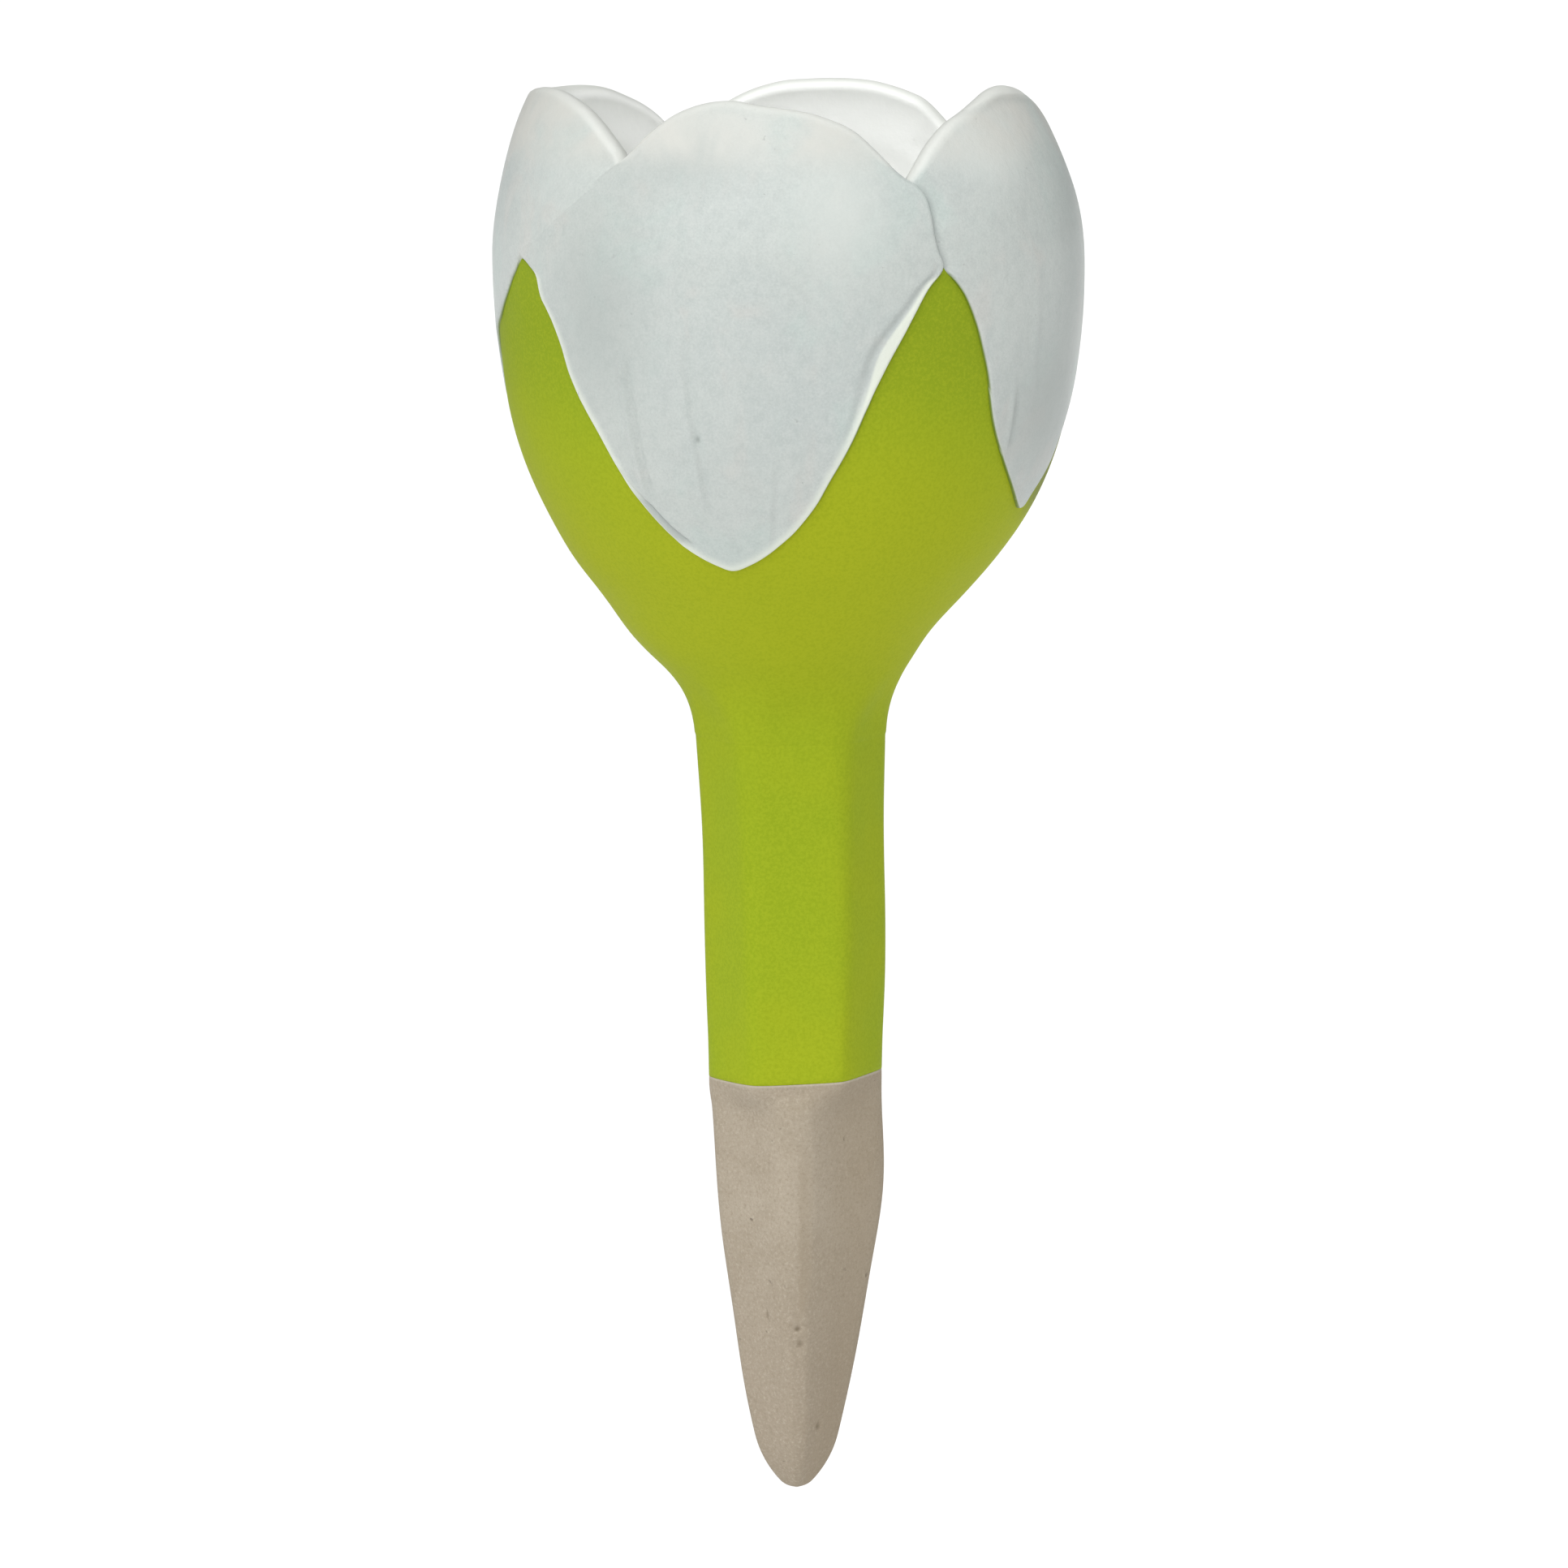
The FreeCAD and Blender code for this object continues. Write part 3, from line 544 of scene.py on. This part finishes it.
def closed_curve(corners, count):
    """A smooth closed line through the corners, evenly spaced, in millimetres of wall."""
    corners = np.array([(a * ARC, z) for a, z in corners])
    before, after = np.roll(corners, 1, 0), np.roll(corners, -1, 0)
    tangent = (after - before) / 2
    nxt, tangent_next = after, np.roll(tangent, -1, 0)
    dense = []
    for t in np.linspace(0, 1, 24, endpoint=False):
        h = (2 * t**3 - 3 * t**2 + 1, t**3 - 2 * t**2 + t, -2 * t**3 + 3 * t**2, t**3 - t**2)
        dense.append(h[0] * corners + h[1] * tangent + h[2] * nxt + h[3] * tangent_next)
    dense = np.stack(dense, 1).reshape(-1, 2)
    for _ in range(30):
        dense = 0.5 * dense + 0.25 * (np.roll(dense, 1, 0) + np.roll(dense, -1, 0))
    length = np.concatenate([[0], np.cumsum(np.linalg.norm(np.roll(dense, -1, 0) - dense, axis=1))])
    loop = np.concatenate([dense, dense[:1]])
    where = np.linspace(0, length[-1], count, endpoint=False)
    return np.stack([np.interp(where, length, loop[:, axis]) for axis in (0, 1)], 1)


def outline_normals(loop):
    """The normals of a closed line, inwards where it runs anticlockwise."""
    along = np.roll(loop, -1, 0) - np.roll(loop, 1, 0)
    along /= np.linalg.norm(along, axis=1)[:, None]
    return np.stack([-along[:, 1], along[:, 0]], 1)


def distance_inside(points, loop):
    """How far points of the wall lie inside a closed line; negative outside."""
    normals = outline_normals(loop)
    result = np.empty(len(points))
    for start in range(0, len(points), 4000):
        part = points[start : start + 4000]
        gap = part[:, None, :] - loop[None, :, :]
        nearest = np.argmin((gap**2).sum(2), axis=1)
        pick = gap[np.arange(len(part)), nearest]
        result[start : start + 4000] = (pick * normals[nearest]).sum(1)
    return result


def petal_bulge(own, z, seed):
    """What a petal's face adds to the wall: a soft middle, and the waviness of handwork."""
    return 0.22 * unevenness(own + 40 * seed, z, seed) + 0.25 * bump(own, 0, 30) * bump(z, 100, 22)


def band_width(z):
    """The width of the light bevel along an upper petal's right edge."""
    return 0.6 + 1.8 * bump(z, 108.3, 6.3)


def band_share(own, z):
    """Where that bevel is: on the right side, from about 95 to 119 mm up."""
    return smooth(own, 17, 23) * smooth(z, 93, 98) * (1 - smooth(z, 117.5, 120.5))


def slit_share(own, z):
    """A slanting cut along the lower left edge, fading upwards."""
    along = smooth(z, 79.8, 81.2) * (1 - 0.55 * smooth(z, 86, 87.5)) * (1 - smooth(z, 89.5, 92))
    return along * smooth(-own, 7, 10)


def slit_place(z):
    """How far inside the petal's edge that cut runs."""
    return 1.6 - 0.9 * smooth(z, 85.5, 90)


def make_petal(
    name, node, centre, corners, material, seed, lip,
    over=False, neighbours=(), marks=(), light_and_shade_spots=(), dents=(), fold=(),
):
    """One petal as a closed shell with a rounded edge. `over` petals lie over their neighbours;
    the others sink under the outlines given in neighbours, each a closed line, its azimuth and
    seed. Marks are strokes of the modelling tool; on petals that are not over they also get
    painted shade along one side. The spots are painted light (above nought) and painted shade
    (below). Dents are hollows, and lip is the rim's extra roundness on the petal's left and
    right. A rim without it is thinned from inside. A fold is a line under the crest, above which
    the petal stands out; the petal is painted lighter above it, with painted shade just under it."""
    count = PETAL_POINTS
    loop = closed_curve(corners, count)
    inward = outline_normals(loop)
    high = smooth(loop[:, 1], 127, 133)
    own = loop[:, 0] / ARC
    edge = 0.8 + (lip[0] + (lip[1] - lip[0]) * smooth(own, -10, 25)) * high
    middle = loop.mean(0)

    def wall_offsets(points, inset):
        """The outer and inner offsets from the sepals' face at points of the petal, and where shade is
        painted in its grooves.
        """
        a, z = points[:, 0] / ARC, points[:, 1]
        outer = 0.55 + petal_bulge(a, z, seed)
        # where shade is painted: beside tool strokes, under the fold and along the open seam
        groove_shade_mask = 0 * z
        outer += 1.5 * smooth(z, 122, 144) ** 1.5 * facing(a + centre, LEFT - 4, 3)
        for foot, bottom, drift, top, width, depth in marks:
            run = smooth(z, bottom, bottom + 4) * (1 - smooth(z, top - 5, top))
            line = a * ARC - foot * ARC - drift * (z - bottom)
            outer += depth * (bump(line, -0.5, width) - bump(line, 0.4, width)) * run
            groove_shade_mask = groove_shade_mask + 1.2 * depth * bump(line, 0.45, width) * run
        if over:
            outer -= 0.36 * bump(inset, band_width(z) + 0.5, 0.65) * band_share(a, z)
            outer -= 0.5 * bump(inset, slit_place(z), 0.3) * slit_share(a, z)
            outer -= 0.18 * smooth(slit_place(z) - inset, 0, 0.4) * slit_share(a, z)
        outer -= spread_of(dents, a, z)
        if fold:
            above = z - np.interp(a, *zip(*fold))
            start, end = fold[0][0], fold[-1][0]
            share = smooth(a, start, start + 6) * (1 - smooth(a, end - 6, end))
            outer += 0.22 * smooth(above, -0.25, 0.3) * share
            groove_shade_mask = groove_shade_mask + 0.4 * bump(above, -0.4, 0.5) * share
        slim = np.maximum(1 - 2 * (lip[0] + (lip[1] - lip[0]) * smooth(a, -10, 25)), 0)
        thick = -WALL + 1.9 * slim * smooth(z, 127, 133) * (1 - smooth(inset, 0.6, 8))
        low = -1.4 + 0 * z
        deep = smooth(z, 100.2, 102.9)
        if over:
            side = smooth(z, 112, 118) * (1 - smooth(z, 130, 134.5))
            lap = side * (1 - smooth(inset, 1.0, 7.0))
            deep = deep * (1 - lap)
            left = smooth(-a, 16, 24) * smooth(z, 117.5, 120.5) * (1 - smooth(z, 131, 134.5))
            outer -= 0.03 * left * (1 - smooth(inset, 0, 5))
        inner = low + (thick - low) * deep
        if not over:
            for other, azimuth, other_seed in neighbours:
                shifted = points + np.array([(centre - azimuth) * ARC, 0.0])
                under = distance_inside(shifted, other)
                twin = petal_bulge(shifted[:, 0] / ARC, z, other_seed) - petal_bulge(a, z, seed)
                left = smooth(-(shifted[:, 0] / ARC), 14, 22) * (1 - smooth(z, 129.5, 134.0))
                open_seam = 0.6 * smooth(under, -2.6, 0.2) + 1.0 * smooth(under, 0.0, 3.0)
                shut_seam = 1.42 * smooth(under, 1.1, 5.5)
                outer += twin * left * smooth(under, -9, -0.5) * smooth(z, 117, 121)
                outer -= (open_seam + (shut_seam - open_seam) * left) * smooth(z, 116.5, 119.5)
                high_side = smooth(z, 117, 119) * (1 - smooth(z, 129, 132))
                groove_shade_mask = groove_shade_mask + (1 - left) * smooth(under, -0.75, -0.1) * high_side
        return outer, inner, groove_shade_mask

    rings, offsets = [], []
    values = {label: [] for label in ("inset", "inside", "cut", "green_edge_and_shade", "painted_light_and_shade")}

    def add_ring(points, inset, share):
        """share goes from 1 at the outer face, through 0 at the edge, to -1 at the inner face."""
        outer, inner, groove_shade_mask = wall_offsets(points, inset)
        offset = (outer + inner) / 2 + (outer - inner) / 2 * share
        rings.append(points)
        offsets.append(offset)
        a, z = points[:, 0] / ARC, points[:, 1]
        # a lower value is whiter: edges partly glaze gathered there, partly painted highlight
        low = smooth(z, 134, 126)
        whitened = inset * (1 + (0.1 if over else 2.0) * low) + (0.1 if over else 0.1 + 0.7 * low)
        if fold:
            above = z - np.interp(a, *zip(*fold))
            # painted highlight: the petal whiter above the fold
            raised = 0.9 * smooth(above, 0, 0.8) * smooth(a, fold[0][0], fold[0][0] + 6)
            whitened = whitened * (1 - raised)
        # painted shade in the creases
        cut = 0.8 * groove_shade_mask * (share > 0)
        if over:
            sides = 6 * smooth(np.abs(a), 14, 22) * smooth(z, 117, 120)
            whitened = whitened + sides * (1 - smooth(z, 129, 134))
            # the bevel band whiter: partly glaze gathered there, partly painted highlight
            band = band_share(a, z) * (1 - smooth(inset, band_width(z) - 0.4, band_width(z) + 0.15))
            whitened = whitened * (1 - 0.65 * band)
            # painted shade in the slit and beside the bevel band
            cut = slit_share(a, z) * smooth(inset, 0.45, 0.7)
            cut = cut * (1 - smooth(inset - slit_place(z), 0.05, 0.4))
            beside = 0.5 * bump(inset, band_width(z) + 0.6, 0.6)
            cut = cut + beside * band_share(a, z) * smooth(z, 102, 106)
        values["inset"].append(whitened)
        # inner faces get the whiter inside glaze, painted light
        values["inside"].append(0 * a + max(-share, 0.0))
        values["cut"].append(cut)
        # the foot line: green paint on the petal's edge, darkened as painted shade
        foot = (1 - smooth(offset, 0.22, 0.4)) * (1 - smooth(inset, 0.35, 0.5)) * (share > -0.5)
        values["green_edge_and_shade"].append(foot * (1 - smooth(z, 117.8, 119.3)))
        # painted light and painted shade: the petal's lighter and darker spots
        values["painted_light_and_shade"].append(spread_of(light_and_shade_spots, a, z))

    inset_loop = loop + inward * edge[:, None]
    steps = 56
    spread = 1 - (1 - np.linspace(0, 1, steps + 1)[1:]) ** 1.5
    for t in spread:
        points = middle + (inset_loop - middle) * t
        inset = np.linalg.norm(inset_loop - points, axis=1) * 0.9 + edge
        add_ring(points, inset, 1.0)
    for angle in np.linspace(0, math.pi, 15)[1:-1]:
        inset = edge * (1 - math.sin(angle) ** 0.9)
        add_ring(loop + inward * inset[:, None], inset, math.cos(angle))
    for t in spread[::-1]:
        points = middle + (inset_loop - middle) * t
        inset = np.linalg.norm(inset_loop - points, axis=1) * 0.9 + edge
        add_ring(points, inset, -1.0)

    def to_row(points, offset):
        """Row coordinates of points of the petal, at offsets from the sepals' face."""
        z = points[:, 1]
        radial, up = face_normal(z)
        azimuth = points[:, 0] / ARC + centre
        return place(azimuth, z + up * offset, face(z) + radial * offset)

    cloud = np.concatenate([to_row(p, o) for p, o in zip(rings, offsets)])
    faces = [quad[::-1] for quad in ring_faces(len(rings), count)]
    far_inside = 30.0
    for ring_start, share in ((0, 1.0), ((len(rings) - 1) * count, -1.0)):
        outer, inner, _ = wall_offsets(middle[None], np.array([far_inside]))
        offset = outer if share > 0 else inner
        tip = to_row(middle[None], offset)[0]
        cloud, faces = cap(cloud, faces, ring_start, count, tip, share > 0)
    middles = {"inset": [far_inside, far_inside], "inside": [0.0, 1.0]}
    values = {
        label: np.concatenate(data + [middles.get(label, [0, 0])])
        for label, data in values.items()
    }
    return make_object(name, cloud, faces, material, [node], values)


# ---------------------------------------------------------------- materials


class Nodes:
    """A short way to build a material's node tree."""

    def __init__(self, name):
        self.material = bpy.data.materials.new(name)
        self.material.use_nodes = True
        self.tree = self.material.node_tree
        self.shader = self.tree.nodes["Principled BSDF"]

    def add(self, kind, **settings):
        node = self.tree.nodes.new(kind)
        for key, value in settings.items():
            setattr(node, key, value)
        return node

    def link(self, source, target):
        self.tree.links.new(source, target)

    def place(self, scale=(1, 1, 1)):
        coordinates = self.add("ShaderNodeTexCoord")
        mapping = self.add("ShaderNodeMapping")
        mapping.inputs["Scale"].default_value = scale
        self.link(coordinates.outputs["Object"], mapping.inputs["Vector"])
        return mapping.outputs["Vector"]

    def noise(self, vector, scale, detail=4.0, roughness=0.5, distortion=0.0):
        node = self.add("ShaderNodeTexNoise")
        node.inputs["Scale"].default_value = scale
        node.inputs["Detail"].default_value = detail
        node.inputs["Roughness"].default_value = roughness
        node.inputs["Distortion"].default_value = distortion
        self.link(vector, node.inputs["Vector"])
        return node.outputs["Fac"]

    def ramp(self, value, low, high, to_low=0.0, to_high=1.0):
        node = self.add("ShaderNodeMapRange", interpolation_type="SMOOTHSTEP")
        names = ("From Min", "From Max", "To Min", "To Max")
        for name, number in zip(names, (low, high, to_low, to_high)):
            node.inputs[name].default_value = number
        self.link(value, node.inputs["Value"])
        return node.outputs["Result"]

    def times(self, first, second):
        node = self.add("ShaderNodeMath", operation="MULTIPLY")
        for socket, value in zip(node.inputs, (first, second)):
            if isinstance(value, (int, float)):
                socket.default_value = value
            else:
                self.link(value, socket)
        return node.outputs[0]

    def mix(self, factor, first, second):
        node = self.add("ShaderNodeMix", data_type="RGBA")
        self.link(factor, node.inputs["Factor"])
        for name, value in (("A", first), ("B", second)):
            socket = [s for s in node.inputs if s.name == name and s.type == "RGBA"][0]
            if isinstance(value, tuple):
                socket.default_value = (*value, 1)
            else:
                self.link(value, socket)
        return [s for s in node.outputs if s.type == "RGBA"][0]

    def height(self):
        coordinates = self.add("ShaderNodeTexCoord")
        split = self.add("ShaderNodeSeparateXYZ")
        self.link(coordinates.outputs["Object"], split.inputs["Vector"])
        return split.outputs["Z"]

    def attribute(self, name):
        node = self.add("ShaderNodeAttribute", attribute_name=name)
        return node.outputs["Fac"]

    def bump(self, height, strength, distance, normal=None):
        node = self.add("ShaderNodeBump")
        node.inputs["Strength"].default_value = strength
        node.inputs["Distance"].default_value = distance
        self.link(height, node.inputs["Height"])
        if normal is not None:
            self.link(normal, node.inputs["Normal"])
        return node.outputs["Normal"]


def glaze_material():
    """Satin white glaze with cool and warm spots. Its whiter edges are partly glaze gathered there
    and partly painted highlight; the much whiter inside, the paler top and the lighter and darker
    spots are painted light and shade, as are the darker grooves and the dark green foot line,
    which is green paint on the edge darkened as painted shade.
    """
    n = Nodes("satin_white_glaze")
    here = n.place()
    patches = n.noise(here, 32.0, 3.0, 0.55)
    streaks = n.noise(n.place((1, 1, 0.12)), 260.0, 4.0, 0.6, 0.4)
    cool = n.ramp(patches, 0.35, 0.7)
    colour = n.mix(cool, (0.475, 0.51, 0.485), (0.44, 0.48, 0.465))
    tints = n.noise(n.place((1, 1, 0.7)), 75.0, 3.0, 0.6, 0.6)
    colour = n.mix(n.ramp(tints, 0.52, 0.66, 0.0, 0.5), colour, (0.44, 0.52, 0.49))
    colour = n.mix(n.ramp(tints, 0.46, 0.34, 0.0, 0.5), colour, (0.52, 0.505, 0.475))
    colour = n.mix(n.ramp(streaks, 0.45, 0.75, 0.0, 0.2), colour, (0.53, 0.55, 0.53))
    mottle = n.noise(here, 620.0, 4.0, 0.65)
    colour = n.mix(n.ramp(mottle, 0.4, 0.7, 0.0, 0.3), colour, (0.54, 0.57, 0.545))
    colour = n.mix(n.ramp(mottle, 0.5, 0.3, 0.0, 0.3), colour, (0.4, 0.435, 0.42))
    grain = n.noise(here, 3000.0, 2.0, 0.7)
    colour = n.mix(n.ramp(grain, 0.48, 0.68, 0.0, 0.3), colour, (0.56, 0.59, 0.565))
    colour = n.mix(n.ramp(grain, 0.5, 0.32, 0.0, 0.3), colour, (0.39, 0.42, 0.41))
    # painted light and painted shade: lighter and darker spots on the petals
    painted_light_and_shade = n.attribute("painted_light_and_shade")
    colour = n.mix(n.ramp(painted_light_and_shade, 0.0, 1.0), colour, (0.57, 0.605, 0.575))
    colour = n.mix(n.ramp(painted_light_and_shade, 0.0, -1.0), colour, (0.33, 0.36, 0.345))
    # painted light: the top few millimetres paler and warmer, where the rim rounds over
    top = n.times(n.ramp(n.height(), 0.131, 0.137), n.ramp(tints, 0.66, 0.4, 0.25, 0.8))
    colour = n.mix(top, colour, (0.56, 0.56, 0.52))
    # whiter edges: partly glaze gathered there, partly painted highlight, warmer on the lower edges
    edge = n.ramp(n.attribute("inset"), 0.2, 2.2, 1.0, 0.0)
    edge_glaze_and_highlight = n.mix(n.ramp(n.height(), 0.121, 0.13), (0.7, 0.735, 0.65), (0.62, 0.635, 0.6))
    colour = n.mix(edge, colour, edge_glaze_and_highlight)
    # painted shade: darker in the creases, the slit and beside the bevel band
    colour = n.mix(n.times(n.attribute("cut"), 0.6), colour, (0.3, 0.33, 0.32))
    # painted light: the inside of the cup and petals much whiter than the outer glaze
    colour = n.mix(n.attribute("inside"), colour, (0.93, 0.94, 0.92))
    # the foot line: green paint on the edge, darkened as painted shade where the petal meets the green
    colour = n.mix(n.attribute("green_edge_and_shade"), colour, (0.13, 0.19, 0.006))
    specks = n.noise(here, 900.0, 2.0, 0.5)
    pits = n.ramp(specks, 0.74, 0.8)
    colour = n.mix(n.times(pits, 0.5), colour, (0.36, 0.38, 0.37))
    n.link(colour, n.shader.inputs["Base Color"])
    n.link(n.ramp(patches, 0.3, 0.7, 0.36, 0.46), n.shader.inputs["Roughness"])
    n.shader.inputs["Specular IOR Level"].default_value = 0.25
    n.shader.inputs["Coat Weight"].default_value = 0.05
    n.shader.inputs["Coat Roughness"].default_value = 0.22
    normal = n.bump(n.noise(here, 170.0, 5.0, 0.6), 0.3, 0.0006)
    normal = n.bump(mottle, 0.25, 0.0003, normal)
    normal = n.bump(n.noise(n.place((1, 1, 0.1)), 420.0, 3.0, 0.6), 0.12, 0.0003, normal)
    normal = n.bump(n.times(pits, -1.0), 0.3, 0.0004, normal)
    n.link(normal, n.shader.inputs["Normal"])
    return n.material


def paint_material():
    """Lime-green satin paint with a fine speckle and yellower patches; painted shade darkens it high up
    among the petals and in one strip beside the right petal's tip.
    """
    n = Nodes("lime_green_paint")
    here = n.place()
    patches = n.noise(here, 38.0, 3.0, 0.6)
    speckle = n.noise(here, 2300.0, 3.0, 0.7)
    colour = n.mix(n.ramp(patches, 0.35, 0.7), (0.27, 0.353, 0.015), (0.308, 0.37, 0.015))
    # painted shade: the green darker from about 88 to 112 mm up, on the sepals among the petals
    high = n.ramp(n.height(), 0.088, 0.112, 0.0, 0.85)
    colour = n.mix(high, colour, (0.212, 0.287, 0.015))
    low = n.ramp(n.height(), 0.104, 0.076)
    foot = n.times(low, n.ramp(n.height(), 0.05, 0.066))
    colour = n.mix(n.times(foot, 0.7), colour, (0.362, 0.397, 0.015))
    # painted shade: the darker strip beside the right petal's tip
    colour = n.mix(n.times(n.attribute("shade"), 0.85), colour, (0.15, 0.165, 0.055))
    colour = n.mix(n.ramp(speckle, 0.44, 0.66, 0.0, 0.34), colour, (0.345, 0.405, 0.02))
    colour = n.mix(n.ramp(speckle, 0.56, 0.36, 0.0, 0.34), colour, (0.215, 0.3, 0.01))
    n.link(colour, n.shader.inputs["Base Color"])
    n.link(n.ramp(patches, 0.3, 0.7, 0.5, 0.6), n.shader.inputs["Roughness"])
    n.shader.inputs["Specular IOR Level"].default_value = 0.03
    normal = n.bump(n.noise(here, 240.0, 4.0, 0.55), 0.16, 0.0004)
    normal = n.bump(speckle, 0.08, 0.0002, normal)
    n.link(normal, n.shader.inputs["Normal"])
    return n.material


def clay_material():
    """Bare porous clay: matt, warm grey, finely grained, with stains and pits, darker towards the tip;
    painted shade on its right side, past the front arris and in the larger pits, and a painted highlight
    along its top edge.
    """
    n = Nodes("bare_porous_clay")
    here = n.place()
    stains = n.noise(here, 60.0, 4.0, 0.6, 0.5)
    grain = n.noise(here, 2300.0, 3.0, 0.75)
    colour = n.mix(n.ramp(stains, 0.35, 0.7), (0.382, 0.33, 0.258), (0.336, 0.286, 0.217))
    colour = n.mix(n.ramp(n.height(), -0.018, -0.045, 0.0, 0.6), colour, (0.305, 0.255, 0.192))
    colour = n.mix(n.ramp(grain, 0.5, 0.7, 0.0, 0.6), colour, (0.46, 0.4, 0.32))
    colour = n.mix(n.ramp(grain, 0.48, 0.32, 0.0, 0.6), colour, (0.27, 0.225, 0.165))
    # painted shade: the right-hand side and the band past the front arris
    colour = n.mix(n.times(n.attribute("shade"), 0.4), colour, (0.265, 0.212, 0.142))
    specks = n.noise(here, 420.0, 2.0, 0.5)
    pits = n.ramp(specks, 0.72, 0.79)
    colour = n.mix(n.times(pits, 0.7), colour, (0.22, 0.18, 0.13))
    # painted shade in the larger pits, darker the deeper they are
    colour = n.mix(n.ramp(n.attribute("pit"), 0.08, 0.4, 0.0, 0.8), colour, (0.17, 0.135, 0.09))
    # painted highlight: a pale line along the cone's top edge, under the green
    colour = n.mix(n.times(n.attribute("lip"), 0.5), colour, (0.55, 0.5, 0.42))
    n.link(colour, n.shader.inputs["Base Color"])
    n.link(n.ramp(grain, 0.3, 0.7, 0.82, 0.95), n.shader.inputs["Roughness"])
    n.shader.inputs["Specular IOR Level"].default_value = 0.15
    normal = n.bump(n.noise(here, 300.0, 6.0, 0.65), 0.35, 0.0005)
    normal = n.bump(grain, 0.35, 0.0002, normal)
    normal = n.bump(n.times(pits, -1.0), 0.6, 0.0006, normal)
    n.link(normal, n.shader.inputs["Normal"])
    return n.material


def cement_material():
    """Grey cement with a fine grain."""
    n = Nodes("grey_cement")
    grain = n.noise(n.place(), 1400.0, 4.0, 0.7)
    n.link(n.mix(grain, (0.3, 0.28, 0.25), (0.42, 0.4, 0.36)), n.shader.inputs["Base Color"])
    n.shader.inputs["Roughness"].default_value = 0.9
    n.link(n.bump(grain, 0.3, 0.0002), n.shader.inputs["Normal"])
    return n.material


glaze, paint, clay, cement = glaze_material(), paint_material(), clay_material(), cement_material()

make_cup(paint, glaze)
make_stem(paint)
make_cone(clay)
make_cement(cement)

front_loop = closed_curve(FRONT_OUTLINE, PETAL_POINTS)
back_loop = closed_curve(BACK_OUTLINE, PETAL_POINTS)
# strokes of the modelling tool: foot's azimuth, foot's height, drift, top, width and depth
strokes = [
    (-16.6, 85, -0.108, 109, 0.55, 0.4),
    (-3.4, 84, -0.104, 112.5, 0.5, 0.26),
    (9.9, 79, 0.08, 94, 0.6, 0.12),
]
side_strokes = [(-25.5, 91, 0.0, 104, 0.5, 0.34), (-20, 96, 0.02, 122, 0.9, 0.16)]
# painted light (above nought) and painted shade spots: own azimuth, height, half widths and amount
front_light_and_shade = [
    (-26, 112, 15, 18, -0.5), (24, 127, 12, 11, 0.6), (-6, 135, 16, 6, -0.5),
    (-4.2, 95.7, 0.5, 0.35, -1.4),
]
right_light_and_shade = [
    (-14, 97, 18, 13, -0.55), (-4, 118, 11, 20, -0.45), (-28, 136, 14, 7, 0.8),
    (-12, 143, 13, 1.4, 1.0),
]
left_light_and_shade = [(50, 131, 18, 10, 0.35)]
# hollows of the face: own azimuth, height, half widths and depth
front_dents = [(-4.2, 95.7, 0.7, 0.45, 0.3)]
right_dents = [(16, 134, 14, 7, 0.55), (14, 141, 12, 5, 0.35), (14, 97, 12, 9, 0.35)]
left_dents = [(12, 108, 10, 9, 0.35)]
# the line under the right petal's crest: own azimuth and height
right_fold = [(-37, 140), (-27, 140.6), (-22, 141.1), (-17, 141.5), (-8, 141.3), (0, 140.6)]
make_petal(
    "petal_white_front", "petal_front", 0, FRONT_OUTLINE, glaze, 0.0, (0.9, 0.9),
    over=True, marks=strokes, light_and_shade_spots=front_light_and_shade, dents=front_dents,
)
make_petal(
    "petal_white_back", "petal_back", 180, BACK_OUTLINE, glaze, 0.7, (0.1, 0.1), over=True,
)
make_petal(
    "petal_white_right", "petal_right", 90, RIGHT_OUTLINE, glaze, 1.6, (0.9, 0.3),
    neighbours=[(front_loop, 0.0, 0.0), (back_loop, 180.0, 0.7)],
    marks=side_strokes, light_and_shade_spots=right_light_and_shade, dents=right_dents, fold=right_fold,
)
make_petal(
    "petal_white_left", "petal_left", -90, LEFT_OUTLINE, glaze, 2.3, (0.1, 0.5),
    neighbours=[(front_loop, 0.0, 0.0), (back_loop, -180.0, 0.7)],
    light_and_shade_spots=left_light_and_shade, dents=left_dents,
)
